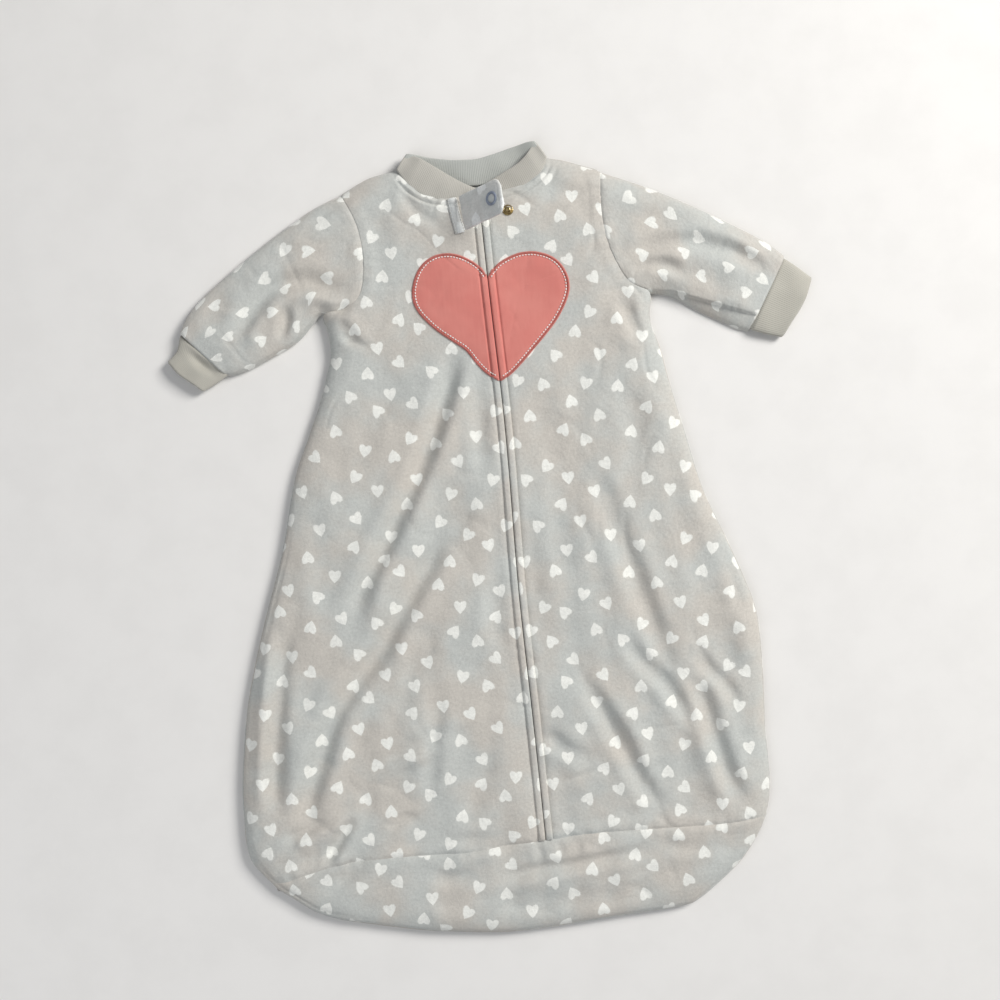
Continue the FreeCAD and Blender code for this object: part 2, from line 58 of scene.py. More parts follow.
# %% Sizes
LOFT = 14.0  # the front's outer face above the surface it lies on
EDGE = 5.2  # height of the seam that joins front and back
RIM, BACK_RIM = 21.0, 13.0  # width of the rounded side of the bag, in front and behind
FLEECE, RIB = 2.3, 2.6  # thickness of the two cloths
ZIP_TOP, ZIP_FOOT = 300.0, -264.6
LIP_IN, LIP_OUT = 0.3, 6.4  # where a zip lip starts and ends, from the zip
HEARTS_APART = 0.0274  # metres between the print's hearts
PRINT_TURN = math.radians(33)  # the angle of their rows
HEART_HALF_WIDTH = 5.5  # of a printed heart
print(f"zip {ZIP_TOP - ZIP_FOOT:.1f} mm long; front {LOFT} mm and seam {EDGE} mm above the floor")

# %% [markdown]
# The bag's outline, in the shape it lies in. Each stretch between two corners is a few points, and
# neighbouring panels use the same stretch, so that they meet on one seam. The two sides differ: the left
# side bulges further, and the sleeves lie at different angles.

# %% Outline
SIDE_LEFT = [(-147, 210), (-143.5, 198.6), (-142.6, 176), (-146.8, 161.4), (-155.4, 137), (-170, 105),
             (-185.4, 70.3), (-203, 8), (-222.6, -45.7), (-238, -91.6),
             (-249, -132.5), (-258, -187.4), (-260.3, -225), (-259.8, -246), (-257, -258),
             (-250.5, -268), (-243, -277.5)]
SIDE_RIGHT = [(141, 200), (137.8, 183), (138.2, 172), (144, 150.3), (148.5, 122.7), (156.1, 84.3),
              (167.6, 28), (181, -11), (194.3, -50), (203.5, -86.1), (204, -130), (200.8, -187),
              (200.3, -222), (198.6, -244), (193.8, -263)]
BOTTOM = [(-243, -277.5), (-236, -285), (-224, -294), (-206.7, -307), (-186.4, -315.5), (-165.7, -321),
          (-117.3, -332), (-93, -336), (-43, -341.5), (2, -341), (66, -337.5), (112, -335), (128, -330),
          (146, -318), (164.6, -303.5), (177, -290), (187, -276), (193.8, -263)]
FOOT_SEAM = [(-243, -277.5), (-229, -277.4), (-213.8, -273.6), (-181.4, -267.2), (-133.5, -265.2),
             (-70.3, -267.5), (-34.8, -265.3), (0, -264.4), (41.8, -262.1), (120.9, -264.7), (160, -265.5),
             (193.8, -263)]
ARMHOLE_LEFT = [(-119, 313.6), (-108.2, 286.8), (-104.7, 262.4), (-106.3, 240), (-111, 224.5),
                (-122.5, 214.5), (-147, 210)]
ARMHOLE_RIGHT = [(106.4, 311.7), (103.9, 279.7), (105.8, 251.6), (113.1, 227.2), (123.6, 210), (141, 200)]
SHOULDER_LEFT = [(-67.6, 329.3), (-80, 327.8), (-93.6, 325.2), (-106, 320), (-119, 313.6)]
SHOULDER_RIGHT = [(61, 326.9), (75, 323.5), (90.4, 317.8), (106.4, 311.7)]
SLEEVE_TOP_LEFT = [(-119, 313.6), (-145.5, 304.3), (-184, 282.6), (-219.5, 259.2), (-250, 237),
                   (-265, 222), (-272.5, 209.5)]
SLEEVE_LOW_LEFT = [(-147, 210), (-155.8, 203), (-171, 189.4), (-194.8, 178.4), (-214, 170.5),
                   (-227, 167), (-235.4, 167.2)]
SLEEVE_TOP_RIGHT = [(106.4, 311.7), (149, 292.3), (183.4, 273.6), (222.7, 249.7), (246, 234), (260, 221.5)]
SLEEVE_LOW_RIGHT = [(141, 200), (150, 198.6), (161.3, 194.3), (180.8, 181.1), (200.5, 169.3),
                    (212, 162.5), (222, 158.6)]
NECK_LEFT = [(-67.6, 329.3), (-60, 316), (-48, 305.6), (-36, 300.8), (-24, 299.4), (-12, 299.6), (0, 300)]
NECK_RIGHT = [(61, 326.9), (55.8, 315.9), (45, 308), (34, 303), (20, 300.6), (8, 300), (0, 300)]
NECK_BACK = [(-67.6, 329.3), (-50, 320), (-30, 314), (0, 311), (30, 314), (48, 320), (61, 326.9)]
SIDES = {
    "left": {"out": -1, "edge": SIDE_LEFT, "hole": ARMHOLE_LEFT, "neck": NECK_LEFT, "shoulder": SHOULDER_LEFT,
             "sleeve_top": SLEEVE_TOP_LEFT, "sleeve_low": SLEEVE_LOW_LEFT},
    "right": {"out": 1, "edge": SIDE_RIGHT, "hole": ARMHOLE_RIGHT, "neck": NECK_RIGHT,
              "shoulder": SHOULDER_RIGHT, "sleeve_top": SLEEVE_TOP_RIGHT, "sleeve_low": SLEEVE_LOW_RIGHT},
}  # out is the direction away from the zip
print(f"neck {NECK_RIGHT[0][0] - NECK_LEFT[0][0]:.1f} mm wide, foot {BOTTOM[-1][0] - BOTTOM[0][0]:.1f} mm")

# %% [markdown]
# A few points give each seam; a smooth curve through them gives as many as a mesh needs. `nearest` tells
# how far any place is from such a curve, which later shapes rims, seams and folds.

# %% Curves
def steps_to(count, power=1.0, ends=0.0):
    """Shares from 0 to 1. A power above 1 packs them closer to 1; ends above 0 packs them to both ends."""
    t = np.linspace(0, 1, count)
    t = t - ends * np.sin(2 * math.pi * t) / (2 * math.pi)
    return 1 - (1 - t) ** power


def run_of(path):
    """How far along the path each of its points is, starting from 0."""
    return np.concatenate([[0], np.cumsum(np.linalg.norm(np.diff(path, axis=0), axis=1))])


def sampled(at, run, values):
    """Values, one row per point of a path, read at other distances along it."""
    return np.stack([np.interp(at, run, column) for column in values.T], axis=1)


def smooth(points, count, power=1.0, ends=0.0):
    """Points along the smooth curve through the given ones, spaced as in steps_to.

    Each stretch is the cubic that leaves every point along the line between its two neighbours.
    """
    p = np.array(points, float)
    if len(p) < 3:
        way = np.linspace(0, 1, 20)[:, None]
        fine = p[0] + way * (p[-1] - p[0])
    else:
        slope = np.gradient(p, axis=0)
        slope[0], slope[-1] = p[1] - p[0], p[-1] - p[-2]
        t = np.linspace(0, 1, 24, endpoint=False)[:, None, None]
        a, b, da, db = p[:-1], p[1:], slope[:-1], slope[1:]
        stretch = (2 * t**3 - 3 * t**2 + 1) * a + (t**3 - 2 * t**2 + t) * da
        stretch = stretch + (3 * t**2 - 2 * t**3) * b + (t**3 - t**2) * db
        fine = np.concatenate([stretch.transpose(1, 0, 2).reshape(-1, p.shape[1]), p[-1:]])
    length = run_of(fine)
    return sampled(steps_to(count, power, ends) * length[-1], length, fine)


def nearest(p, path):
    """Distance from each point to a path, how far along it (0 to its length), and the side it is on."""
    best = np.full(len(p), 1e9)
    along, side = np.zeros(len(p)), np.ones(len(p))
    gone = 0.0
    for a, b in zip(path[:-1], path[1:]):
        way = b - a
        size = math.hypot(*way) or 1e-9
        share = np.clip(((p - a) @ way) / size**2, 0, 1)
        off = p - a - share[:, None] * way
        far = np.hypot(off[:, 0], off[:, 1])
        nearer = far < best
        best = np.where(nearer, far, best)
        along = np.where(nearer, gone + share * size, along)
        side = np.where(nearer, np.sign(way[0] * off[:, 1] - way[1] * off[:, 0]), side)
        gone += size
    return best, along, side


def unit(v):
    """The vectors, each made one unit long."""
    return v / np.maximum(np.linalg.norm(v, axis=-1, keepdims=True), 1e-9)


def zip_x(y):
    """The zip's gentle sway across the bag."""
    y = np.asarray(y, float)
    return 1.9 * np.exp(-(((y - 105) / 85) ** 2)) - 1.1 * np.exp(-(((y + 60) / 70) ** 2))


def joined(*paths):
    """One path from several, end to end."""
    return np.concatenate([np.array(q, float) for q in paths])


def turned(path):
    """The path in the other direction."""
    return path[::-1]


OUTLINE = joined(
    smooth(BOTTOM, 70), turned(smooth(SIDE_RIGHT, 60)), smooth(SLEEVE_LOW_RIGHT, 24),
    np.array([(272, 128), (306, 190)]), turned(smooth(SLEEVE_TOP_RIGHT, 24)),
    turned(smooth(SHOULDER_RIGHT, 12)), np.array([(61, 380), (-67.6, 380)]), smooth(SHOULDER_LEFT, 12),
    smooth(SLEEVE_TOP_LEFT, 24), np.array([(-310, 180), (-262, 130)]), turned(smooth(SLEEVE_LOW_LEFT, 24)),
    smooth(SIDE_LEFT, 60),
)
print(f"outline: {len(OUTLINE)} points, {run_of(OUTLINE)[-1]:.0f} mm round")

# %% [markdown]
# The shape of the cloth's surface: one height for every place on the front, made of the padded loft, the
# rounded rim, the seams' grooves and the folds. All panels take their height from it, so they meet exactly.
# Each fold is a path with a depth (below zero for a valley), a half width, and how much of a roll of cloth
# it pushes up beside it: on its left, and on its right, going along the path.

# %% Folds
FOLDS = [
    # left half, long valleys that run from the heart out to the lower left
    ([(-32, 172), (-48, 128), (-72, 75), (-104, 20), (-128, -18), (-150, -58)], -5.4, 7.0, 0.55, 0.25),
    ([(-60, 10), (-95, -40), (-130, -90), (-168, -132), (-188, -176), (-203, -212), (-208, -238)],
     -5.6, 8.0, 0.5, 0.35),
    ([(-80, 155), (-108, 118), (-138, 92)], -1.6, 9.0, 0.3, 0.3),
    ([(-205, -52), (-214, -92), (-222, -140), (-230, -195), (-232, -225)], -4.8, 7.0, 0.2, 0.7),
    ([(-36, 60), (-62, -10), (-86, -70), (-104, -130)], -1.3, 12.0, 0.2, 0.3),
    ([(-118, -100), (-150, -150), (-163, -190)], -1.5, 8.0, 0.3, 0.3),
    ([(-76, -112), (-84, -150), (-92, -190), (-101, -228)], -2.4, 6.0, 0.3, 0.3),
    ([(-94, -84), (-104, -112), (-114, -146)], -1.8, 6.0, 0.3, 0.3),
    ([(-150, -205), (-118, -185), (-97, -180), (-70, -165)], 2.2, 5.0, 0.0, 0.0),
    ([(-138, -186), (-112, -172), (-84, -164)], -1.8, 5.0, 0.2, 0.0),
    ([(-229, -243), (-206, -234), (-186, -226)], -2.6, 4.0, 0.0, 0.4),
    ([(-215, -249), (-186, -234), (-160, -215)], 1.8, 5.0, 0.0, 0.0),
    ([(-195, -272), (-186, -257), (-174, -240), (-162, -223)], -3.4, 4.0, 0.4, 0.4),
    ([(-138, -244), (-120, -232), (-104, -238)], -1.6, 4.0, 0.3, 0.3),
    ([(-40, -175), (-52, -212), (-64, -250)], -1.5, 7.0, 0.4, 0.2),
    ([(-160, -195), (-150, -215), (-160, -240)], -1.4, 6.0, 0.3, 0.3),
    ([(-14, 132), (-20, 96), (-22, 50)], -2.0, 6.0, 0.1, 0.4),
    ([(-18, -20), (-24, -60), (-22, -110)], -1.9, 6.5, 0.1, 0.4),
    ([(-110, 262), (-92, 276), (-80, 292)], -1.2, 9.0, 0.2, 0.3),
    ([(-60, 318), (-63, 304), (-55, 290), (-42, 281), (-30, 268)], -1.1, 4.0, 0.3, 0.5),
    ([(-136, 206), (-124, 190), (-118, 176)], -2.2, 5.0, 0.5, 0.3),
    ([(-142, 196), (-118, 200), (-96, 212)], 1.2, 7.0, 0.0, 0.0),
    ([(-143, 194), (-124, 186), (-103, 174)], -1.6, 2.6, 0.4, 0.3),
    # right half, a fan of softer ones below the arm
    ([(76, 60), (84, 20), (96, -30), (112, -90), (124, -145)], -2.8, 8.0, 0.3, 0.5),
    ([(96, -5), (108, -60), (118, -112)], -1.6, 7.0, 0.3, 0.3),
    ([(140, -130), (151, -169), (163, -222), (176, -258)], -4.6, 7.0, 0.35, 0.6),
    ([(84, -90), (100, -118), (118, -140), (134, -168), (143, -192)], -3.2, 6.0, 0.4, 0.5),
    ([(142, -108), (158, -132), (172, -150), (180, -170)], -2.6, 5.0, 0.4, 0.4),
    ([(186, -20), (190, -60), (188, -100)], -1.8, 6.0, 0.3, 0.3),
    ([(46, -120), (58, -152), (78, -194), (88, -224), (104, -250)], -4.0, 6.5, 0.5, 0.4),
    ([(4, -164), (22, -184), (50, -202)], -2.2, 6.0, 0.4, 0.4),
    ([(100, 128), (115, 96), (108, 50), (92, 10)], -1.7, 9.0, 0.3, 0.4),
    ([(116, 200), (120, 180), (130, 156)], -3.0, 6.0, 0.5, 0.4),
    ([(150, 20), (158, -40), (172, -110), (182, -160)], -1.3, 10.0, 0.3, 0.4),
    ([(34, 130), (44, 60), (40, 0), (52, -60)], -1.1, 10.0, 0.3, 0.3),
    ([(100, 284), (76, 292), (52, 300)], -1.0, 8.0, 0.3, 0.3),
    ([(90, 150), (70, 120), (50, 104)], -1.0, 9.0, 0.3, 0.3),
    # foot
    ([(-222, -268), (-200, -258), (-172, -244)], -2.0, 6.0, 0.3, 0.4),
    ([(-198, -296), (-178, -280), (-158, -262), (-142, -250)], -2.4, 6.5, 0.4, 0.3),
    ([(-48, -297), (-14, -289), (16, -287.5), (54, -284.4), (98, -280)], -2.8, 4.6, 0.4, 0.5),
    ([(-108, -283), (-84, -289), (-58, -284)], -1.8, 5.0, 0.3, 0.3),
    ([(96, -276), (118, -283), (142, -280)], -1.8, 5.0, 0.3, 0.3),
    ([(-8, -266), (-6, -274), (-8, -284)], -1.6, 3.0, 0.4, 0.4),
    ([(8, -265), (12, -273), (10, -281)], -1.4, 2.6, 0.4, 0.4),
    ([(24, -264), (28, -272), (25, -280)], -1.2, 2.6, 0.4, 0.4),
    ([(-66, -312), (-10, -317), (60, -319), (104, -314)], -1.8, 8.0, 0.3, 0.2),
    ([(-86, -255), (-40, -262), (-18, -262)], -1.3, 6.0, 0.3, 0.2),
    ([(150, -300), (164, -280), (172, -262)], -1.8, 8.0, 0.3, 0.3),
    # left sleeve
    ([(-228, 192), (-219, 204), (-206, 220), (-189, 236), (-170, 241), (-152, 239), (-134, 232), (-118, 224)],
     -4.6, 6.5, 0.2, 0.8),
    ([(-188, 190), (-179, 206), (-176, 224)], -3.2, 4.5, 0.4, 0.5),
    ([(-160, 196), (-146, 208), (-128, 214), (-112, 216)], -2.2, 4.0, 0.5, 0.3),
    ([(-206, 192), (-196, 206), (-190, 216)], -1.5, 6.0, 0.3, 0.3),
    ([(-250, 200), (-240, 222), (-226, 240)], -1.2, 8.0, 0.3, 0.3),
    # right sleeve
    ([(112, 226), (140, 238), (172, 240), (206, 232), (240, 206)], -3.2, 6.5, 0.5, 0.6),
    ([(122, 214), (138, 224), (158, 222), (172, 210)], -2.6, 4.5, 0.5, 0.5),
    ([(206, 236), (228, 222), (250, 200)], -1.8, 5.0, 0.5, 0.3),
    ([(130, 214), (156, 222), (190, 212)], -1.5, 7.0, 0.4, 0.4),
    ([(108, 258), (150, 262), (190, 250)], -1.0, 9.0, 0.3, 0.3),
]
FOLD_DEPTH = 1.15  # how much deeper or shallower all of them are
FOLD_PATHS = [(smooth(path, 14), depth, width, left, right) for path, depth, width, left, right in FOLDS]
NECK_SEAMS = [smooth(NECK_LEFT, 40), smooth(NECK_RIGHT, 40)]
SEAMS = [(smooth(FOOT_SEAM, 60), 0.8), (smooth(ARMHOLE_LEFT, 30), 0.2), (smooth(ARMHOLE_RIGHT, 30), 0.2)]


def ease(x):
    """0 below 0, 1 above 1, and a smooth rise between."""
    x = np.clip(x, 0, 1)
    return x * x * (3 - 2 * x)


def waves(p, wavelength, seed, count=18, stretch=(1.0, 1.0)):
    """Gentle random undulation, about -1 to 1: a sum of plane waves in seeded directions."""
    rng = np.random.default_rng(seed)
    angle = rng.uniform(0, 2 * math.pi, count)
    size = 2 * math.pi / (wavelength * rng.uniform(0.7, 1.5, count))
    k = np.stack([np.cos(angle) * size / stretch[0], np.sin(angle) * size / stretch[1]])
    return np.cos(p @ k + rng.uniform(0, 2 * math.pi, count)).sum(axis=1) / math.sqrt(count)


def rounded(d, width):
    """Quarter ellipse: 0 at the edge, 1 from the width inwards."""
    s = np.clip(d / width, 0, 1)
    return np.sqrt(np.clip(1 - (1 - s) ** 2, 0, 1))


def relief(p):
    """Folds, gentle undulation and puckered seams, above the smooth front. The sewn-on heart calms them."""
    calm = 1 - 0.85 * np.exp(-(((p[:, 0]) / 74) ** 4) - ((p[:, 1] - 196) / 66) ** 4)
    h = 0.75 * waves(p, 95, 3) + calm * (0.5 * waves(p, 42, 5) + 0.2 * waves(p, 17, 8))
    for seed in (61, 67, 71):
        crease = np.exp(-((waves(p, 105, seed) / 0.085) ** 2)) * ease(0.2 + waves(p, 80, seed + 1))
        h -= 0.85 * crease * calm
    h += 0.5 * waves(p, 60, 11, stretch=(0.55, 1.9)) * ease((120 - p[:, 1]) / 120)
    for path, depth, width, left, right in FOLD_PATHS:
        near = (np.abs(p[:, 0] - path[:, 0].mean()) < 170) & (np.abs(p[:, 1] - path[:, 1].mean()) < 210)
        if not near.any():
            continue
        d, s, side = nearest(p[near], path)
        length = np.linalg.norm(np.diff(path, axis=0), axis=1).sum()
        tail = min(36.0, 0.36 * length)
        ends = ease(s / tail) * ease((length - s) / tail)
        beside = np.where(side > 0, left, right)
        reach = np.exp(-((np.maximum(d - 0.2 * width, 0) / width) ** 2))
        roll = np.exp(-(((d - 1.9 * width) / (1.25 * width)) ** 2))
        h[near] += FOLD_DEPTH * depth * ends * (reach - beside * roll)
    for seam, groove in SEAMS:
        d, s, _ = nearest(p, seam)
        pucker = np.sin(s / 2.1 + 1.8 * np.sin(s / 13)) * np.sin(s / 17 + 0.6)
        h += 0.5 * pucker * np.exp(-((d / 7) ** 2)) - groove * np.exp(-((d / 1.5) ** 2))
        h += 0.45 * np.exp(-(((d - 6) / 4) ** 2))
    for seam in NECK_SEAMS:
        d, s, _ = nearest(p, seam)
        lumps = 1 + 0.35 * np.sin(s / 1.9) * np.sin(s / 5.3 + 1)
        h += 0.9 * lumps * np.exp(-(((d - 3) / 1.5) ** 2)) - 0.8 * np.exp(-(((d - 6.2) / 0.9) ** 2))
        h += 0.35 * np.exp(-(((d - 8.5) / 1.6) ** 2))
    return h


def front_height(p, lips=True):
    """Height of the bag's outer front face over a point (x, y)."""
    d, _, _ = nearest(p, np.concatenate([OUTLINE, OUTLINE[:1]]))
    side = rounded(d, RIM)
    rolled = np.exp(-(((d - 4.6) / 0.9) ** 2)) * ease((-140 - p[:, 0]) / 20) * ease((40 - p[:, 1]) / 50)
    h = EDGE + (LOFT - EDGE) * side + relief(p) * ease(d / 16) - 1.1 * rolled
    off = np.abs(p[:, 0] - zip_x(p[:, 1]))
    on_zip = ease((p[:, 1] - ZIP_FOOT + 1) / 3)
    h += on_zip * (0.5 * np.exp(-((off / 11) ** 2)) - 1.3 * np.exp(-(((off - 6.5) / 0.9) ** 2)))
    if lips:
        dome = np.sqrt(np.clip(1 - ((off - 3.55) / 3.0) ** 2, 0, 1))
        h += np.where(off < 6.6, 0.9 * dome - 0.1, 0) - 1.0 * np.exp(-((off / 0.6) ** 2))
    return h


def back_height(p):
    """Height of the back panel's underside: flat on the surface, and rising to the seam round the rim."""
    d, _, _ = nearest(p, np.concatenate([OUTLINE, OUTLINE[:1]]))
    return (EDGE - 0.4) * (1 - rounded(d, BACK_RIM)) + 0.05


middle = np.stack([np.full(9, 60.0), np.linspace(-240, 240, 9)], axis=1)
print(f"{len(FOLDS)} folds; the front beside the zip is {np.round(front_height(middle), 1).tolist()} mm high")


# %% [markdown]
# Meshes. A sheet of cloth starts as a grid of points that fills the space between its four edges. `cloth`
# gives it thickness and a round edge all the way round, so every piece is a closed solid. Its texture
# follows the cloth, in metres, so prints and weaves keep their size on every piece.

# %% Mesh helpers
def patch(low, high, left, right):
    """Grid that fills the space between four curves whose ends meet (a Coons patch).

    low and high run from left to right, left and right run from low to high. Rows follow left and right.
    """
    u = np.linspace(0, 1, len(low))[None, :, None]
    v = np.linspace(0, 1, len(left))[:, None, None]
    across = (1 - v) * low[None] + v * high[None]
    up = (1 - u) * left[:, None] + u * right[:, None]
    corners = (1 - u) * (1 - v) * low[0] + u * (1 - v) * low[-1] + (1 - u) * v * high[0] + u * v * high[-1]
    return across + up - corners


def unfolded(grid, rounds=250):
    """The grid with its inside points evened out, so that no cell folds over where the outline is hollow.

    Each round solves a x_uu - 2 b x_uv + c x_vv = 0 for the middle point, where a = x_v . x_v,
    b = x_u . x_v and c = x_u . x_u (Winslow's equations).
    """
    g = grid.copy()
    for _ in range(rounds):
        du, dv = (g[1:-1, 2:] - g[1:-1, :-2]) / 2, (g[2:, 1:-1] - g[:-2, 1:-1]) / 2
        a, b, c = ((m * n).sum(axis=-1, keepdims=True) for m, n in ((dv, dv), (du, dv), (du, du)))
        cross = (g[2:, 2:] - g[2:, :-2] - g[:-2, 2:] + g[:-2, :-2]) / 4
        beside, above = g[1:-1, 2:] + g[1:-1, :-2], g[2:, 1:-1] + g[:-2, 1:-1]
        g[1:-1, 1:-1] = (a * beside + c * above - 2 * b * cross) / (2 * (a + c) + 1e-9)
    return g


def raised(grid, height):
    """Grid of 3-D points from a flat grid and the height of each of its points."""
    return np.concatenate([grid, np.reshape(height, grid.shape[:2])[..., None]], axis=2)


def on_front(grid, lips=True):
    """The grid lifted onto the bag's front."""
    return raised(grid, front_height(grid.reshape(-1, 2), lips))


def normals(grid):
    """Unit normals of a grid of points, upwards for rows that run left to right and then up."""
    return unit(np.cross(np.gradient(grid, axis=1), np.gradient(grid, axis=0)))


def build(name, points, faces, material, uv=None, inner=None):
    """Mesh object from points in millimetres.

    uv is one pair per point, in metres of cloth. inner is 1 on the cloth's inner face and 0 on its outer.
    """
    mesh = bpy.data.meshes.new(name)
    faces = faces if isinstance(faces, list) else faces.tolist()
    mesh.from_pydata(np.asarray(points, float) / 1000, [], faces)
    mesh.validate()
    if uv is not None:
        layer = mesh.uv_layers.new(name="Cloth")
        corner = np.empty(len(mesh.loops), np.int32)
        mesh.loops.foreach_get("vertex_index", corner)
        layer.data.foreach_set("uv", np.asarray(uv, np.float32)[corner].ravel())
    if inner is not None:
        side = mesh.attributes.new("inside", "FLOAT", "POINT")
        side.data.foreach_set("value", np.asarray(inner, np.float32))
    mesh.polygons.foreach_set("use_smooth", np.ones(len(mesh.polygons), bool))
    mesh.materials.append(material)
    obj = bpy.data.objects.new(name, mesh)
    bpy.context.scene.collection.objects.link(obj)
    print(f"{name}: {len(mesh.vertices)} points, {len(mesh.polygons)} faces")
    return obj


def cloth(name, grid, thick, material, uv=None, steps=4):
    """Closed sheet of cloth under a grid, with a half-round edge.

    The lower face is the upper one moved down its normals by the thickness. Round the edge, each step
    turns from up to outwards to down about the middle of the edge.
    """
    rows, cols = grid.shape[:2]
    n = normals(grid)
    bottom = grid - n * thick
    top_id = np.arange(rows * cols).reshape(rows, cols)
    ring = np.concatenate([top_id[0], top_id[1:, -1], top_id[-1, -2::-1], top_id[-2:0:-1, 0]])
    flat_top, flat_n = grid.reshape(-1, 3), n.reshape(-1, 3)
    edge = flat_top[ring]
    along = np.roll(edge, -1, axis=0) - np.roll(edge, 1, axis=0)
    out = unit(np.cross(along, flat_n[ring]))
    angle = (np.arange(1, steps) / steps * math.pi)[:, None, None]
    middle = edge - flat_n[ring] * thick / 2
    rims = middle + (np.sin(angle) * out + np.cos(angle) * flat_n[ring]) * thick / 2
    points = np.concatenate([flat_top, bottom.reshape(-1, 3), rims.reshape(-1, 3)])
    quads = np.stack([top_id[:-1, :-1], top_id[:-1, 1:], top_id[1:, 1:], top_id[1:, :-1]], axis=-1)
    quads = quads.reshape(-1, 4)
    count = rows * cols
    rim_ids = [2 * count + i * len(ring) + np.arange(len(ring)) for i in range(steps - 1)]
    loops = [ring] + rim_ids + [ring + count]
    pairs = zip(loops[:-1], loops[1:])
    sides = [np.stack([b, np.roll(b, -1), np.roll(a, -1), a], axis=-1) for a, b in pairs]
    faces = np.concatenate([quads, quads[:, ::-1] + count] + sides)
    if uv is None:
        uv = grid[..., :2] / 1000
    flat_uv = uv.reshape(-1, 2)
    all_uv = np.concatenate([flat_uv, flat_uv] + [flat_uv[ring]] * (steps - 1))
    rim_inner = [np.full(len(ring), i / steps) for i in range(1, steps)]
    inner = np.concatenate([np.zeros(count), np.ones(count)] + rim_inner)
    obj = build(name, points, faces, material, all_uv, inner)
    up, over = np.diff(grid[:, :-1, :2], axis=0), np.diff(grid[:-1, :, :2], axis=1)
    obj["flat_area"] = float(np.abs(up[..., 0] * over[..., 1] - up[..., 1] * over[..., 0]).sum() / 1e6)
    return obj


def spread(points, faces, places, normal, along, size):
    """Copies one small shape to many places at once, each turned to its own normal and direction."""
    side = np.cross(normal, along)
    size = np.broadcast_to(np.asarray(size, float), (len(places), 3))
    q = points[None] * size[:, None]
    axes = (along[:, None], side[:, None], normal[:, None])
    world = places[:, None] + q[..., :1] * axes[0] + q[..., 1:2] * axes[1] + q[..., 2:] * axes[2]
    shift = (np.arange(len(places)) * len(points))[:, None, None]
    return world.reshape(-1, 3), (faces[None] + shift).reshape(-1, faces.shape[1])


def bead(rings=5, around=6):
    """Small closed capsule along X, half a unit long each way, as points and quads."""
    a = np.linspace(0, math.pi, rings + 2)
    b = np.arange(around) / around * 2 * math.pi
    x = -np.cos(a)[:, None] + 0 * b
    r = np.maximum(np.sin(a), 0.03)[:, None]
    p = np.stack([x, r * np.cos(b), r * np.sin(b)], axis=-1).reshape(-1, 3) / 2
    i = np.arange(rings + 1)[:, None] * around + np.arange(around)[None]
    j = np.arange(rings + 1)[:, None] * around + (np.arange(around)[None] + 1) % around
    quads = np.stack([i, j, j + around, i + around], axis=-1).reshape(-1, 4)
    cap = np.array([[0, k, k + 1, k + 2] for k in range(1, around - 2, 2)])
    return p, np.concatenate([quads, cap[:, ::-1], cap + (rings + 1) * around])


def stitches(name, path, normal, material, length, gap, width, height):
    """Row of stitches along a path of 3-D points, each a little longer or shorter than the next."""
    total = run_of(path)
    at = np.arange((length + gap) / 2, total[-1], length + gap)
    place, up = sampled(at, total, path), unit(sampled(at, total, normal))
    ahead = sampled(at, total, np.gradient(path, axis=0))
    ahead = unit(ahead - (ahead * up).sum(axis=1, keepdims=True) * up)
    rng = np.random.default_rng(len(name))
    size = np.array([length, width, height]) * rng.uniform(0.88, 1.1, (len(at), 1))
    points, quads = spread(*bead(), place, up, ahead, size)
    return build(name, points, quads, material, points[:, :2] / 1000)


# %% [markdown]
# Materials, as node trees. Colours are sRGB hex values, turned to linear light by one function. Fleece
# gets a brushed pile, a soft sheen and, on its outer face only, the print. The rib gets its wales, woven
# cloth its threads, and hard parts a worn finish, so that each still reads as itself close up.

# %% Materials
def colour(text):
    """Linear RGBA of an sRGB hex colour."""
    c = np.array([int(text[i : i + 2], 16) for i in (1, 3, 5)]) / 255
    return (*np.where(c <= 0.04045, c / 12.92, ((c + 0.055) / 1.055) ** 2.4).tolist(), 1.0)


def add(tree, kind, inputs=None, **settings):
    """Adds a shader node with its settings; each input is a value, or another node's output to link."""
    n = tree.nodes.new(kind)
    for key, value in settings.items():
        setattr(n, key, value)
    for key, value in (inputs or {}).items():
        if isinstance(value, bpy.types.NodeSocket):
            tree.links.new(value, n.inputs[key])
        else:
            n.inputs[key].default_value = value
    return n


def calc(tree, operation, a, b=0.0, c=0.0):
    """Output of one math node."""
    return add(tree, "ShaderNodeMath", {0: a, 1: b, 2: c}, operation=operation).outputs[0]


def soft_step(tree, value, low, high, start=0.0, end=1.0):
    """Output that eases from start at low to end at high."""
    inputs = {"Value": value, "From Min": low, "From Max": high, "To Min": start, "To Max": end}
    return add(tree, "ShaderNodeMapRange", inputs, interpolation_type="SMOOTHSTEP").outputs[0]


def mixed(tree, share, a, b, blend="MIX"):
    """Output of a colour mix."""
    n = add(tree, "ShaderNodeMix", {"Factor": share}, data_type="RGBA", blend_type=blend)
    for key, value in ((6, a), (7, b)):
        if isinstance(value, bpy.types.NodeSocket):
            tree.links.new(value, n.inputs[key])
        else:
            n.inputs[key].default_value = value
    return n.outputs[2]


def noise(tree, place, scale, detail=2.0, rough=0.5):
    """Output of one noise texture, about 0.5 on average."""
    inputs = {"Vector": place, "Scale": scale, "Detail": detail, "Roughness": rough}
    return add(tree, "ShaderNodeTexNoise", inputs).outputs["Fac"]


def new_material(name, **principled):
    """Material with its Principled shader's constant inputs set; returns the material, tree and shader."""
    mat = bpy.data.materials.new(name)
    mat.use_nodes = True
    tree = mat.node_tree
    shader = tree.nodes["Principled BSDF"]
    for key, value in principled.items():
        shader.inputs[key.replace("_", " ")].default_value = value
    return mat, tree, shader


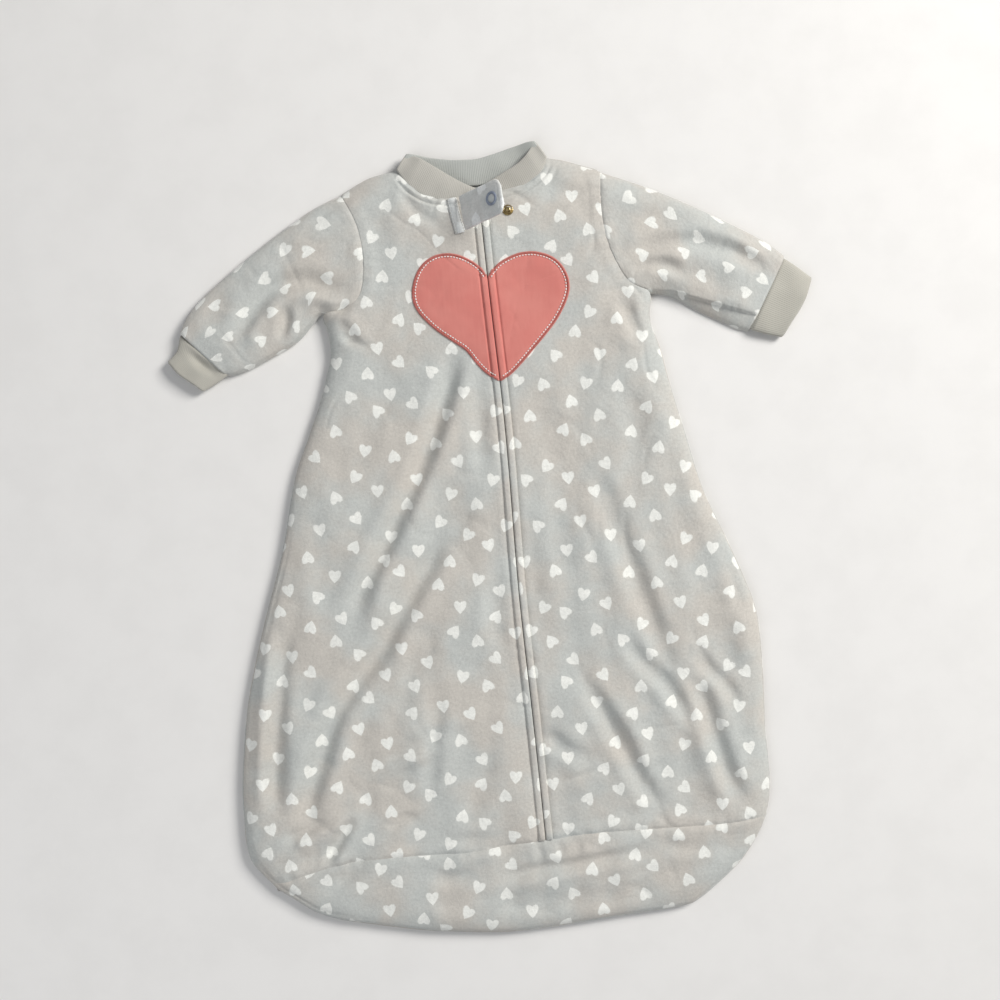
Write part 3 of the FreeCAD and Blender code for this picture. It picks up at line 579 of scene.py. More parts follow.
def bumped(tree, shader, height, distance, strength=1.0):
    """Lets the height, up to that distance in metres, tilt the shader's normal."""
    n = add(tree, "ShaderNodeBump", {"Height": height, "Distance": distance, "Strength": strength})
    tree.links.new(n.outputs[0], shader.inputs["Normal"])


def vector(tree, operation, a, b=None, scale=1.0):
    """Output of one vector math node."""
    inputs = {0: a, "Scale": scale} if b is None else {0: a, 1: b}
    return add(tree, "ShaderNodeVectorMath", inputs, operation=operation).outputs[0]


def grey(tree, value):
    """Colour whose three parts are that one value."""
    return add(tree, "ShaderNodeCombineColor", {0: value, 1: value, 2: value}).outputs[0]


def on_cloth(tree):
    """Place on the cloth, in metres."""
    return add(tree, "ShaderNodeUVMap", uv_map="Cloth").outputs[0]


def heart_print(tree, place, seed):
    """1 inside a printed heart and 0 outside.

    The cloth is divided into cells round slightly scattered centres, in rows that run at an angle. In each
    cell the place is measured from the centre and turned by the cell's own random angle. A heart is the
    shape x^2 + (y - k |x|^0.8)^2 < 1.
    """
    moved = {"Location": (seed * 0.131, seed * 0.077, 0.0), "Rotation": (0.0, 0.0, PRINT_TURN)}
    shifted = add(tree, "ShaderNodeMapping", {"Vector": place} | moved).outputs[0]
    scattered = {"Vector": shifted, "Scale": 1 / HEARTS_APART, "Randomness": 0.45}
    cells = add(tree, "ShaderNodeTexVoronoi", scattered, voronoi_dimensions="2D", feature="F1")
    apart = vector(tree, "SUBTRACT", shifted, cells.outputs["Position"])
    off = vector(tree, "SCALE", apart, scale=1000 / HEART_HALF_WIDTH)
    dice = add(tree, "ShaderNodeSeparateColor", {"Color": cells.outputs["Color"]})
    tilt = calc(tree, "MULTIPLY_ADD", dice.outputs[0], 1.5, -0.75 - PRINT_TURN)
    flip = calc(tree, "MULTIPLY", calc(tree, "GREATER_THAN", dice.outputs[1], 0.52), math.pi)
    turn = {"Vector": off, "Angle": calc(tree, "ADD", tilt, flip)}
    turned_off = add(tree, "ShaderNodeVectorRotate", turn, rotation_type="Z_AXIS")
    wobble = calc(tree, "MULTIPLY_ADD", noise(tree, place, 900.0, 2.0), 0.24, -0.12)
    xyz = add(tree, "ShaderNodeSeparateXYZ", {"Vector": turned_off.outputs[0]})
    x = calc(tree, "ABSOLUTE", xyz.outputs[0])
    y = calc(tree, "MULTIPLY_ADD", xyz.outputs[1], 1.12, 0.15)
    lift = calc(tree, "MULTIPLY", calc(tree, "POWER", x, 0.8), 0.78)
    y = calc(tree, "SUBTRACT", y, lift)
    r = calc(tree, "SQRT", calc(tree, "ADD", calc(tree, "MULTIPLY", x, x), calc(tree, "MULTIPLY", y, y)))
    return soft_step(tree, calc(tree, "ADD", r, wobble), 0.86, 1.1, 1.0, 0.0)


def fleece(name, seed, cool="#bec0bc", warm="#c3beb6", light="#e9e9e3"):
    """Microfleece: short brushed pile with a soft sheen, printed on its outer face."""
    mat, tree, shader = new_material(name, Roughness=0.92, Sheen_Weight=0.35, Sheen_Roughness=0.45, IOR=1.3)
    shader.inputs["Specular IOR Level"].default_value = 0.15
    place = on_cloth(tree)
    inside = add(tree, "ShaderNodeAttribute", attribute_name="inside").outputs["Fac"]
    outer = soft_step(tree, inside, 0.4, 0.6, 1.0, 0.0)
    print_mask = calc(tree, "MULTIPLY", heart_print(tree, place, seed), outer)
    cover = soft_step(tree, noise(tree, place, 110.0, 2.0), 0.25, 0.6, 0.82, 0.98)
    print_mask = calc(tree, "MULTIPLY", print_mask, cover)
    patches = noise(tree, vector(tree, "ADD", place, (seed * 0.7, 0.0, 0.0)), 17.0, 3.0)
    ground = mixed(tree, soft_step(tree, patches, 0.36, 0.64), colour(cool), colour(warm))
    body = mixed(tree, print_mask, ground, colour(light))
    speck = noise(tree, place, 1400.0, 3.0, 0.7)
    fuzz = noise(tree, place, 420.0, 3.0, 0.6)
    shade = soft_step(tree, calc(tree, "ADD", speck, fuzz), 0.6, 1.4, 0.88, 1.09)
    body = mixed(tree, 1.0, body, grey(tree, shade), "MULTIPLY")
    tree.links.new(body, shader.inputs["Base Color"])
    tufts = noise(tree, place, 190.0, 4.0, 0.62)
    pile = calc(tree, "MULTIPLY_ADD", tufts, 1.1, calc(tree, "MULTIPLY", speck, 0.35))
    bumped(tree, shader, pile, 0.0009, 0.6)
    return mat


def rib_knit(name, base="#bfbbb2", pitch=0.0017):
    """One-by-one rib: round wales side by side, made of small loops, with a faint painted shade between the
    wales.
    """
    mat, tree, shader = new_material(name, Roughness=0.9, Sheen_Weight=0.25, IOR=1.3)
    shader.inputs["Specular IOR Level"].default_value = 0.15
    place = on_cloth(tree)
    xyz = add(tree, "ShaderNodeSeparateXYZ", {"Vector": place})
    wale = calc(tree, "SINE", calc(tree, "MULTIPLY", xyz.outputs[0], 2 * math.pi / pitch))
    loop = calc(tree, "SINE", calc(tree, "MULTIPLY", xyz.outputs[1], 2 * math.pi / 0.0011))
    blot = noise(tree, place, 45.0, 3.0)
    speck = noise(tree, place, 1500.0, 3.0, 0.7)
    tone = calc(tree, "MULTIPLY_ADD", speck, 0.16, 0.85)
    tone = calc(tree, "MULTIPLY_ADD", blot, 0.14, tone)
    # Painted shade: the same wave that raises the wales makes their crests faintly lighter and the grooves
    # between them faintly darker.
    tone = calc(tree, "MULTIPLY_ADD", wale, 0.018, tone)
    toned = mixed(tree, 1.0, colour(base), grey(tree, tone), "MULTIPLY")
    tree.links.new(toned, shader.inputs["Base Color"])
    height = calc(tree, "ADD", calc(tree, "MULTIPLY", wale, 0.5), calc(tree, "MULTIPLY", loop, 0.14))
    bumped(tree, shader, calc(tree, "MULTIPLY_ADD", speck, 0.7, height), 0.0002, 0.8)
    return mat


def woven(name, base, dark, pitch=0.00045):
    """Plain woven cotton: fine threads over and under, with slight slubs."""
    mat, tree, shader = new_material(name, Roughness=0.82, Sheen_Weight=0.15, IOR=1.4)
    shader.inputs["Specular IOR Level"].default_value = 0.2
    place = on_cloth(tree)
    xyz = add(tree, "ShaderNodeSeparateXYZ", {"Vector": place})
    warp = calc(tree, "SINE", calc(tree, "MULTIPLY", xyz.outputs[0], 2 * math.pi / pitch))
    weft = calc(tree, "SINE", calc(tree, "MULTIPLY", xyz.outputs[1], 2 * math.pi / pitch))
    streak = add(tree, "ShaderNodeMapping", {"Vector": place, "Scale": (1.0, 0.12, 1.0)}).outputs[0]
    slub = noise(tree, streak, 380.0, 3.0)
    blot = noise(tree, place, 28.0, 3.0)
    share = calc(tree, "MULTIPLY_ADD", slub, 0.25, calc(tree, "MULTIPLY", blot, 0.75))
    share = soft_step(tree, share, 0.35, 0.65)
    tree.links.new(mixed(tree, share, colour(dark), colour(base)), shader.inputs["Base Color"])
    bumped(tree, shader, calc(tree, "MULTIPLY", warp, weft), 0.00008, 0.6)
    return mat


def thread(name, base, dark, **principled):
    """Twisted thread or monofilament: fine fibres, and a tone that drifts from stitch to stitch."""
    mat, tree, shader = new_material(name, **principled)
    place = on_cloth(tree)
    drift = calc(tree, "MULTIPLY", noise(tree, place, 90.0), 0.4)
    share = soft_step(tree, calc(tree, "MULTIPLY_ADD", noise(tree, place, 600.0), 0.6, drift), 0.35, 0.65)
    tree.links.new(mixed(tree, share, colour(dark), colour(base)), shader.inputs["Base Color"])
    bumped(tree, shader, noise(tree, place, 3200.0, 3.0), 0.00008, 0.5)
    return mat


def hard(name, base, dark, rough, worn, grain=900.0, **principled):
    """Hard surface that has been handled: tone and roughness drift together, over a faint grain."""
    mat, tree, shader = new_material(name, **principled)
    place = add(tree, "ShaderNodeTexCoord").outputs["Object"]
    wear = soft_step(tree, noise(tree, place, grain / 3, 4.0, 0.6), 0.35, 0.7)
    tree.links.new(mixed(tree, wear, colour(base), colour(dark)), shader.inputs["Base Color"])
    tree.links.new(soft_step(tree, wear, 0.0, 1.0, rough, worn), shader.inputs["Roughness"])
    bumped(tree, shader, noise(tree, place, grain, 3.0), 0.00003, 0.4)
    return mat


FRONT_LEFT = fleece("Fleece, front left, printed", 1)
FRONT_RIGHT = fleece("Fleece, front right, printed", 2)
FOOT = fleece("Fleece, foot, printed", 3)
BACK = fleece("Fleece, back, printed", 4)
SLEEVE = fleece("Fleece, sleeves, printed", 5)
RIB_COLLAR = rib_knit("Rib knit, collar", "#b6b3ab")
RIB_BACK = rib_knit("Rib knit, inside of the collar", "#b2b4af")
RIB_CUFF = rib_knit("Rib knit, cuffs", "#b5b2a8")
CORAL = woven("Coral cotton, plain weave", "#d8897f", "#d38077")
SATIN = thread("Coral embroidery thread, satin stitch", "#c87a72", "#b9695f", Roughness=0.5)
THREAD = thread("White sewing thread", "#f3f1ee", "#e2dfda", Roughness=0.7)
GREY_THREAD = thread("Grey sewing thread", "#c9c7c0", "#b9b7b0", Roughness=0.75)
TAPE = woven("Zip tape, woven polyester", "#cbc8c1", "#bfbcb5", 0.0008)
COIL = thread("Zip coil, nylon monofilament", "#d4d1ca", "#c6c3bc", Roughness=0.35)
STOP = hard("Zip stops, moulded nylon", "#d2cfc8", "#c4c1ba", 0.35, 0.5)
SLIDER_METAL = hard("Zip slider, enamelled zinc", "#d0cdc6", "#bcb8b0", 0.28, 0.45, Metallic=0.3)
BRASS = hard("Brass, worn", "#b8a67e", "#8f7d55", 0.26, 0.45, Metallic=1.0)
ENAMEL = hard("Snap ring, grey-blue enamel", "#8b94a3", "#7b8494", 0.28, 0.42)
print(len(bpy.data.materials), "materials")

# %% [markdown]
# Where the cloth turns when the bag opens: each front turns about a line from the zip's foot to the neck
# point, and each sleeve about a line just outside its armhole. A piece on such a side only has its placement
# baked into its mesh; it is not blended across the line and does not bend there.

# %% Fold lines
JOINTS = {j["name"]: j for j in frame["joints"]}


def bends(obj, joint, inward, reach=7.0):
    """Bakes obj's placement into its mesh; it neither follows the moving body nor bends about the joint's
    axis.
    """
    pos, axis = Vector(JOINTS[joint]["pos_m"]), Vector(JOINTS[joint]["axis"])
    across = axis.cross(Vector((0, 0, 1))).normalized()
    if across.dot(Vector(inward)) < 0:
        across.negate()
    across *= reach / 1000
    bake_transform(obj)


def opens(obj, side):
    """Bakes the placement of obj, on the front on that side, into its mesh."""
    bends(obj, f"lapel_{side}_fold", (1, 0, 0) if side == "left" else (-1, 0, 0))


def lifts(obj, side):
    """Bakes the placement of obj, on the sleeve on that side, into its mesh."""
    bends(obj, f"sleeve_{side}_fold", (-1, 0, 0) if side == "left" else (1, 0, 0))


# %% [markdown]
# Front panels. Each fills the space between the zip, the foot seam, the side seam with the armhole, and
# the shoulder with the neck. Points crowd towards the side seam, where the cloth turns under, and towards
# the seams at both ends.

# %% Front panels
FRONT_ROWS, FRONT_COLS = 280, 84
TO_SIDE, TO_ENDS = 1.35, 0.66  # how much points crowd to the side seam, and to both ends


def front_panel(side):
    """One front, from the zip lip to the side seam."""
    own = SIDES[side]
    out = own["out"]
    half = sorted([q for q in FOOT_SEAM if out * q[0] > LIP_OUT], key=lambda q: out * q[0])
    foot = smooth([(out * LIP_OUT, ZIP_FOOT + 0.3)] + half, FRONT_COLS, TO_SIDE)
    outer = joined(turned(smooth(own["edge"], 150)), turned(smooth(own["hole"], 60))[1:])
    outer = smooth(outer[::3], FRONT_ROWS, ends=TO_ENDS)
    outer[0] = foot[-1]
    top = joined(turned(smooth(own["neck"], 40))[3:], smooth(own["shoulder"], 20)[1:])
    top = smooth(top[::2], FRONT_COLS, TO_SIDE)
    top[0] = (out * LIP_OUT, top[0][1])
    top[-1] = outer[-1]
    y = foot[0][1] + steps_to(FRONT_ROWS, ends=TO_ENDS) * (top[0][1] - foot[0][1])
    inner = np.stack([zip_x(y) + out * LIP_OUT, y], axis=1)
    foot[0], top[0] = inner[0], inner[-1]
    grid = unfolded(patch(foot, top, inner, outer))
    grid = grid if side == "right" else grid[:, ::-1]
    fabric = FRONT_LEFT if side == "left" else FRONT_RIGHT
    obj = cloth(f"front_panel_{side}", on_front(grid), FLEECE, fabric)
    opens(obj, side)
    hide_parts(f"front_{side}", f"lapel_{side}")
    return obj


fronts = {side: front_panel(side) for side in ("left", "right")}

# %% [markdown]
# Foot panel. It fills the space between the foot seam and the round bottom edge, and follows the same
# surface as the fronts, without the zip's lips.

# %% Foot panel
foot_top = smooth(FOOT_SEAM, 152)[1:-1]
foot_low = smooth(BOTTOM, 152)[1:-1]
left_end = np.linspace(foot_low[0], foot_top[0], 30)
right_end = np.linspace(foot_low[-1], foot_top[-1], 30)
foot_grid = on_front(patch(foot_low, foot_top, left_end, right_end), lips=False)
foot_panel = cloth("foot_panel_cloth", foot_grid, FLEECE, FOOT)
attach(foot_panel, "bag")
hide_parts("foot_panel")

# %% [markdown]
# Back panel. It lies flat on the floor and turns up at the rim, so that its edge meets the front's seam
# and shows as a thin line from above.

# %% Back panel
def back_panel():
    """The whole back, from the foot to the neck, between both side seams and armholes."""
    left = joined(turned(smooth(SIDE_LEFT, 170)), turned(smooth(ARMHOLE_LEFT, 50))[1:])
    right = joined(turned(smooth(SIDE_RIGHT, 170)), turned(smooth(ARMHOLE_RIGHT, 50))[1:])
    left, right = smooth(left[::3], 210), smooth(right[::3], 210)
    low = smooth(BOTTOM, 130)
    shoulders = turned(smooth(SHOULDER_LEFT, 20)), smooth(SHOULDER_RIGHT, 20)
    high = joined(shoulders[0], smooth(NECK_BACK, 60)[1:], shoulders[1][1:])
    high = smooth(high[::2], 130)
    left[0], right[0], left[-1], right[-1] = low[0], low[-1], high[0], high[-1]
    grid = unfolded(patch(low, high, left, right))
    under = raised(grid, back_height(grid.reshape(-1, 2)))
    return cloth("back_panel_cloth", under[:, ::-1], FLEECE, BACK)


back = back_panel()
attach(back, "bag")
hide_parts("back_panel")

# %% [markdown]
# Sleeves. Each is a flattened tube: the upper half follows the front's height and the lower half lies on
# the floor, and both meet at the folded edges. A tube, not a flat sheet, so that an arm could go in and
# the cuff's opening is a real one.

# %% Sleeves
UNDERARM = {"left": [(-111, 212), (-128, 206.5)], "right": [(115.5, 208), (127, 200)]}
# the right sleeve's upper layer ends along this line, and its lower layer shows below it
LAYER_EDGE = [(143, 201.5), (158, 199.5), (177.6, 191.8), (201.7, 182.2), (226, 173)]


def sleeve(side):
    """Sleeve from its armhole to the cuff.

    Rows near the armhole bow, so that the first follows the seam, 2 mm under the front. What lies on the
    body's side of the seam is lowered to pass under the front's cloth.
    """
    own, under = SIDES[side], UNDERARM[side]
    rows, around, tuck, drop = 84, 132, 2.0, 2.9
    upper, lower = smooth(own["sleeve_top"], rows), smooth(under + own["sleeve_low"], rows)
    seam = smooth([q for q in own["hole"] if q[1] > under[0][1] + 2] + under[:1], 60)
    ahead = unit(np.gradient(seam, axis=0))
    inwards = np.stack([ahead[:, 1], -ahead[:, 0]], axis=1) * own["out"]
    seam = seam + tuck * inwards
    bulge = seam - np.linspace(upper[0], lower[0], 60)
    t = np.arange(around) / around * 2 * math.pi
    across = np.sign(np.cos(t)) * np.abs(np.cos(t)) ** 0.72
    middle, half = (upper + lower) / 2, (upper - lower) / 2
    along = np.linspace(0, 1, 60)
    shift = np.stack([np.interp((1 - across) / 2, along, bulge[:, i]) for i in range(2)], axis=-1)
    fade = (1 - np.linspace(0, 1, rows)) ** 2.2
    flat = middle[:, None] + across[None, :, None] * half[:, None] + fade[:, None, None] * shift[None]
    p = flat.reshape(-1, 2)
    high = front_height(p, lips=False)
    if side == "right":
        d, _, over = nearest(p, smooth(LAYER_EDGE, 30))
        high -= 4.4 * ease(0.5 - over * d / 1.8) * (p[:, 0] > 146)
    line = smooth(own["hole"] + own["edge"][1:6], 110)
    d, _, over = nearest(p, line)
    body_side = nearest(np.array([[0.0, 200.0]]), line)[2][0]
    high -= drop * ease(0.5 + over * body_side * d / 2.0)
    high = np.maximum(high, EDGE - 2.4).reshape(flat.shape[:2])
    floor = 0.1
    closing = ease((np.linspace(0, 1, len(upper)) - 0.86) / 0.14)[:, None]
    high = high * (1 - closing) + np.minimum(high, 12.2) * closing
    lift = np.clip(0.5 + 0.5 * np.sign(np.sin(t)) * np.minimum(np.abs(np.sin(t)) * 2.4, 1), 0, 1)
    outer = raised(flat, floor + (high - floor) * lift)
    return tube_from(f"sleeve_tube_{side}", outer, FLEECE, SLEEVE, (upper, lower))


def tube_from(name, outer, thick, material, edges):
    """Closed solid for the wall of an open tube, from the grid of its outer face.

    Rows run along the tube and columns round it. The inner face is the outer one moved inwards, and a
    round rim joins them at both ends.
    """
    rows, around = outer.shape[:2]
    wrap = np.concatenate([outer[:, -1:], outer, outer[:, :1]], axis=1)
    n = unit(np.cross(np.gradient(outer, axis=0), wrap[:, 2:] - wrap[:, :-2]))
    if ((outer - outer.mean(axis=1, keepdims=True)) * n).sum() < 0:
        n = -n
    for _ in range(2):
        beside = np.roll(n, 1, axis=1) + np.roll(n, -1, axis=1)
        n = unit(n + beside + np.concatenate([n[1:], n[-1:]]) + np.concatenate([n[:1], n[:-1]]))
    inner = outer - n * thick
    inner[..., 2] = np.maximum(inner[..., 2], outer[..., 2].min() + 0.2)
    girth = run_of(outer[rows // 2]) / 1000
    length = run_of(outer.mean(axis=1)) / 1000
    uv = np.stack(np.broadcast_arrays(girth[None], length[:, None]), axis=-1)
    count = rows * around
    ids = np.arange(count).reshape(rows, around)
    nxt = np.roll(ids, -1, axis=1)
    quads = np.stack([ids[:-1], nxt[:-1], nxt[1:], ids[1:]], axis=-1).reshape(-1, 4)
    points, uvs = [outer.reshape(-1, 3), inner.reshape(-1, 3)], [uv.reshape(-1, 2)] * 2
    inside = [np.zeros(count), np.ones(count)]
    faces, made = [quads, quads[:, ::-1] + count], 2 * count
    for row, before in ((0, 1), (rows - 1, rows - 2)):
        ahead = unit(outer[row] - outer[before])
        points.append((outer[row] + inner[row]) / 2 + ahead * thick * 0.45)
        uvs.append(uv[row])
        inside.append(np.full(around, 0.5))
        ring = made + np.arange(around)
        made += around
        for x, y in ((ids[row], ring), (ring, ids[row] + count)):
            q = np.stack([x, np.roll(x, -1), np.roll(y, -1), y], axis=-1)
            faces.append(q[:, ::-1] if row == 0 else q)
    faces, points = np.concatenate(faces), np.concatenate(points)
    a, b, c = (points[faces[:, i]] - points.mean(axis=0) for i in range(3))
    if np.einsum("ij,ij->i", a, np.cross(b, c)).sum() < 0:
        faces = faces[:, ::-1]
    obj = build(name, points, faces, material, np.concatenate(uvs), np.concatenate(inside))
    upper, lower = edges
    strip = np.cross(np.diff((upper + lower) / 2, axis=0), (lower - upper)[:-1])
    obj["flat_area"] = float(2 * np.abs(strip).sum() / 1e6)
    return obj


for side in ("left", "right"):
    piece = sleeve(side)
    lifts(piece, side)
    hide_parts(f"sleeve_head_{side}", f"sleeve_{side}")

# %% [markdown]
# Cuffs, in rib knit: short tubes that start just inside the sleeve's end, a little narrower there, so that
# the sleeve seems gathered onto them.

# %% Cuffs
CUFF_EDGES = {
    "left": ([(-270, 213), (-273.2, 203), (-276, 193.5), (-281, 188), (-285.4, 184.5)],
             [(-228, 172), (-236, 166.4), (-246, 160.5), (-256.4, 155.4)]),
    "right": ([(252, 224), (262, 216.5), (272, 208), (282, 199.2)],
              [(218, 162), (226, 158.8), (237, 154.6), (250.4, 150.4)]),
}


def cuff(side):
    """Flattened rib tube. The left one has the hollow that a thumb would leave."""
    rows, around = 34, 140
    s = np.linspace(0, 1, rows)[:, None]
    upper, lower = (smooth(edge, rows) for edge in CUFF_EDGES[side])
    tucked = ease((0.26 - s) / 0.12)
    middle, half = (upper + lower) / 2, (upper - lower) / 2 * (1 - 0.06 * tucked)
    t = np.arange(around) / around * 2 * math.pi
    across = np.sign(np.cos(t)) * np.abs(np.cos(t)) ** 0.8
    bow = 1.6 * (1 - across**2) * (1 if side == "right" else 0.6) + 0.5 * np.sin(4.1 * across + 0.8)
    along = unit(np.gradient(middle, axis=0))
    flat = middle[:, None] + across[None, :, None] * half[:, None] + (s * bow)[..., None] * along[:, None]
    p = flat.reshape(-1, 2)
    swell = 0.55 * waves(p, 30, 21 if side == "left" else 26).reshape(flat.shape[:2])
    hollow = 4.2 * np.exp(-(((s - 0.44) / 0.13) ** 2) - ((across + 0.12) / 0.5) ** 2) * (side == "left")
    high = 10.6 + swell - hollow + 0.8 * (1 - np.abs(across) ** 3) - 2.6 * tucked
    rise = np.abs(np.sin(t)) ** 0.6 * np.sign(np.sin(t))
    z = (high + 0.4) / 2 + (high - 0.4) / 2 * rise[None]
    piece = tube_from(f"cuff_rib_{side}", raised(flat, z), RIB, RIB_CUFF, (upper, lower))
    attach(piece, f"sleeve_{side}")
    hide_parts(f"cuff_{side}")


cuff("left")
cuff("right")

# %% [markdown]
# Collar. One strip of rib in the real bag: a back part whose inside shows, and two front parts that
# cross its ends and slope down to the zip. Each part is a ruled strip between the neck seam and the free
# edge, with a height of its own.

# %% Collar
def strip(name, seam, edge, height, thick, count=90, rows=14, flip=False, material=None):
    """Rib strip between its seam curve and its free edge. height gives z from the shares along and across."""
    low, high = smooth(seam, count), smooth(edge, count)
    grid = low[None] + np.linspace(0, 1, rows)[:, None, None] * (high - low)[None]
    u, v = np.meshgrid(np.linspace(0, 1, count), np.linspace(0, 1, rows))
    z = height(u, v) + 0.25 * waves(grid.reshape(-1, 2), 22, 31).reshape(u.shape)
    uv = np.stack([np.broadcast_to(run_of(low)[None] / 1000, u.shape), v * 0.02], axis=-1)
    grid = raised(grid, z)
    if flip:
        grid, uv = grid[:, ::-1], uv[:, ::-1]
    return cloth(name, grid, thick, material or RIB_COLLAR, uv, steps=6)


COLLAR_BACK_EDGE = [(-58.5, 341.5), (-50, 339.6), (-36, 336), (-18, 332.6), (0, 331.6), (14, 333.8),
                    (30, 337.6), (44, 340.4), (52.5, 341)]
COLLAR_LEFT_EDGE = [(-58.5, 342.4), (-48, 336), (-36, 327.5), (-24, 318.6), (-12, 310.6), (-1.5, 305.4)]
COLLAR_RIGHT_EDGE = [(53, 341.2), (47, 332), (36.5, 323), (24, 316.6), (12, 311), (1.5, 306)]


def back_rise(u, v):
    """Flat on the surface in the middle, rising at both ends to meet the front parts."""
    end = np.maximum(ease((0.16 - u) / 0.16), ease((u - 0.84) / 0.16))
    return 5.2 + 1.4 * v + 3.6 * end


def front_rise(u, v):
    """Level with the front at the zip, falling to the fold at the corner; rounded along its free edge."""
    fold = ease((0.22 - u) / 0.22)
    return LOFT - 0.2 + 1.0 * np.sin(np.pi * v) - 0.9 * v - 4.6 * fold * (0.35 + 0.65 * v)


collar_back = strip("collar_rib_back", NECK_BACK, COLLAR_BACK_EDGE, back_rise, RIB, material=RIB_BACK)
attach(collar_back, "bag")
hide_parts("collar_back")
for side, seam, edge in (("left", NECK_LEFT, COLLAR_LEFT_EDGE), ("right", NECK_RIGHT, COLLAR_RIGHT_EDGE)):
    end = -1.2 if side == "left" else 1.2
    piece = strip(f"collar_rib_{side}", seam[:-1] + [(end, 300)], edge, front_rise, RIB, flip=side == "right")
    opens(piece, side)
    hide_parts(f"collar_front_{side}")

# %% [markdown]
# The zip. Two narrow rolls of the front's own cloth, the lips, meet over it and hide it. Below them are
# the tapes and the coils, which show once the fronts fold out.

# %% Zip lips, tapes and coils
def ribbon(name, x_in, x_out, y_low, y_high, out, height, thick, material, cols=9, rows=240, steps=4):
    """Narrow strip along the zip, between two distances from it."""
    y = np.linspace(y_low, y_high, rows)
    x = np.linspace(x_in, x_out, cols)
    grid = np.stack(np.broadcast_arrays(zip_x(y)[:, None] + out * x, y[:, None]), axis=-1)
    if out < 0:
        grid = grid[:, ::-1]
    return cloth(name, raised(grid, height(grid.reshape(-1, 2))), thick, material, steps=steps)


def tape_height(p):
    """Height of the tapes: under the front's cloth, and never above the coils."""
    return np.minimum(front_height(p, False) - 2.9, 11.4)


LIP_ENDS, TAPE_ENDS = (ZIP_FOOT + 0.6, ZIP_TOP - 0.5), (ZIP_FOOT + 1, ZIP_TOP - 2)
trims = {"left": [], "right": []}
for side, out, mat in (("left", -1, FRONT_LEFT), ("right", 1, FRONT_RIGHT)):
    lip = ribbon(f"lip_{side}", LIP_IN, LIP_OUT - 0.05, *LIP_ENDS, out, front_height, 0.9, mat, cols=11)
    opens(lip, side)
    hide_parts(f"zip_lip_{side}", *(["zip_lip_foot"] if side == "left" else []))
    trims[side].append(lip)
    tape = ribbon(f"tape_{side}", 2.6, 13.0, *TAPE_ENDS, out, tape_height, 0.5, TAPE, cols=6)
    opens(tape, side)
    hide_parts(f"zip_tape_{side}", *(["zip_tape_foot"] if side == "left" else []))


COIL_PITCH, COIL_Z, COIL_END = 1.5, 11.25, 288.0


def coil(side):
    """Nylon coil: small loops, each reaching over the zip line between two of the other side."""
    out = -1 if side == "left" else 1
    start = ZIP_FOOT + 6 + (COIL_PITCH / 2 if side == "right" else 0.0)
    y = np.arange(start, COIL_END, COIL_PITCH)
    place = np.stack([zip_x(y) + out * 1.2, y, 0 * y + COIL_Z], axis=1)
    count = len(y)
    up, along = np.tile([0, 0, 1.0], (count, 1)), np.tile([1.0, 0, 0], (count, 1))
    points, quads = spread(*bead(4, 8), place, up, along, (3.0, 0.85, 1.5))
    obj = build(f"coil_{side}", points, quads, COIL, points[:, :2] / 1000)
    opens(obj, side)
    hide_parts(f"zip_coil_{side}", *(["zip_chain_foot"] if side == "left" else []))


coil("left")
coil("right")

# %% [markdown]
# The sewn-on heart, in two halves that part at the zip. Each half lies on its front panel and runs over
# the lip. Its edge is satin-stitched, with a white running stitch just inside. Every stitch is a small
# bead of thread, so both rows catch the light like the real ones.

# %% Heart
HEART_LEFT = [(-0.8, 229), (-5, 236), (-12.5, 243), (-22, 248.6), (-33, 251.6), (-44, 250.6),
              (-54, 245.4), (-61.5, 236), (-66, 224), (-66.4, 213), (-63, 203.5), (-56.5, 194.5),
              (-48.5, 185.6), (-37, 175.8), (-26, 166.4), (-18.5, 154.5), (-10.5, 144.5), (-0.8, 137.2)]
HEART_RIGHT = [(0.8, 228.5), (5, 233.6), (12, 239.4), (22, 243.8), (32, 246), (43, 245.4),
               (55, 241), (63.5, 233.4), (68.6, 222.5), (69.4, 212.5), (66.8, 203.5), (61, 193),
               (53, 182.4), (43, 172), (32, 161.4), (21, 151), (11, 142.6), (0.8, 136.8)]


def heart(side):
    """Half of the heart, between its curved edge and the zip, with its two rows of stitches."""
    edge = smooth(HEART_LEFT if side == "left" else HEART_RIGHT, 150)
    out = -1 if side == "left" else 1
    edge[:, 0] += zip_x(edge[:, 1])
    y = np.linspace(edge[0][1], edge[-1][1], 150)
    inner = np.stack([zip_x(y) + out * 0.35, y], axis=1)
    inner[0], inner[-1] = edge[0], edge[-1]
    even = np.linspace(0, 1, 60)
    s = (0.35 * even + 0.65 * even**2.2)[None, :, None]
    grid = (inner[:, None] * (1 - s) + edge[:, None] * s)[::-1]
    grid = grid if side == "right" else grid[:, ::-1]
    p = grid.reshape(-1, 2)
    d, _, _ = nearest(p, edge)
    pad = 0.9 + 0.5 * ease(d / 9) - 0.3 * np.exp(-(((d - 2.2) / 0.8) ** 2)) + 0.08 * waves(p, 14, 41)
    obj = cloth(f"heart_cloth_{side}", raised(grid, front_height(p) + pad), 0.9, CORAL)
    opens(obj, side)
    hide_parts(f"heart_{side}")
    along = unit(np.gradient(edge, axis=0))
    for name, inset, mat, length, gap, width, tall, rise in (
        ("satin_edge", 0.7, SATIN, 0.62, 0.0, 1.7, 1.0, 1.0),
        ("running_stitch", 2.6, THREAD, 1.9, 0.75, 1.15, 0.8, 1.35),
    ):
        line = edge + np.stack([along[:, 1], -along[:, 0]], axis=1) * inset * out
        line = line[out * (line[:, 0] - zip_x(line[:, 1])) > 1.0]
        place = np.concatenate([line, (front_height(line) + rise)[:, None]], axis=1)
        row = stitches(f"{name}_{side}", place, surface_normal(line), mat, length, gap, width, tall)
        opens(row, side)


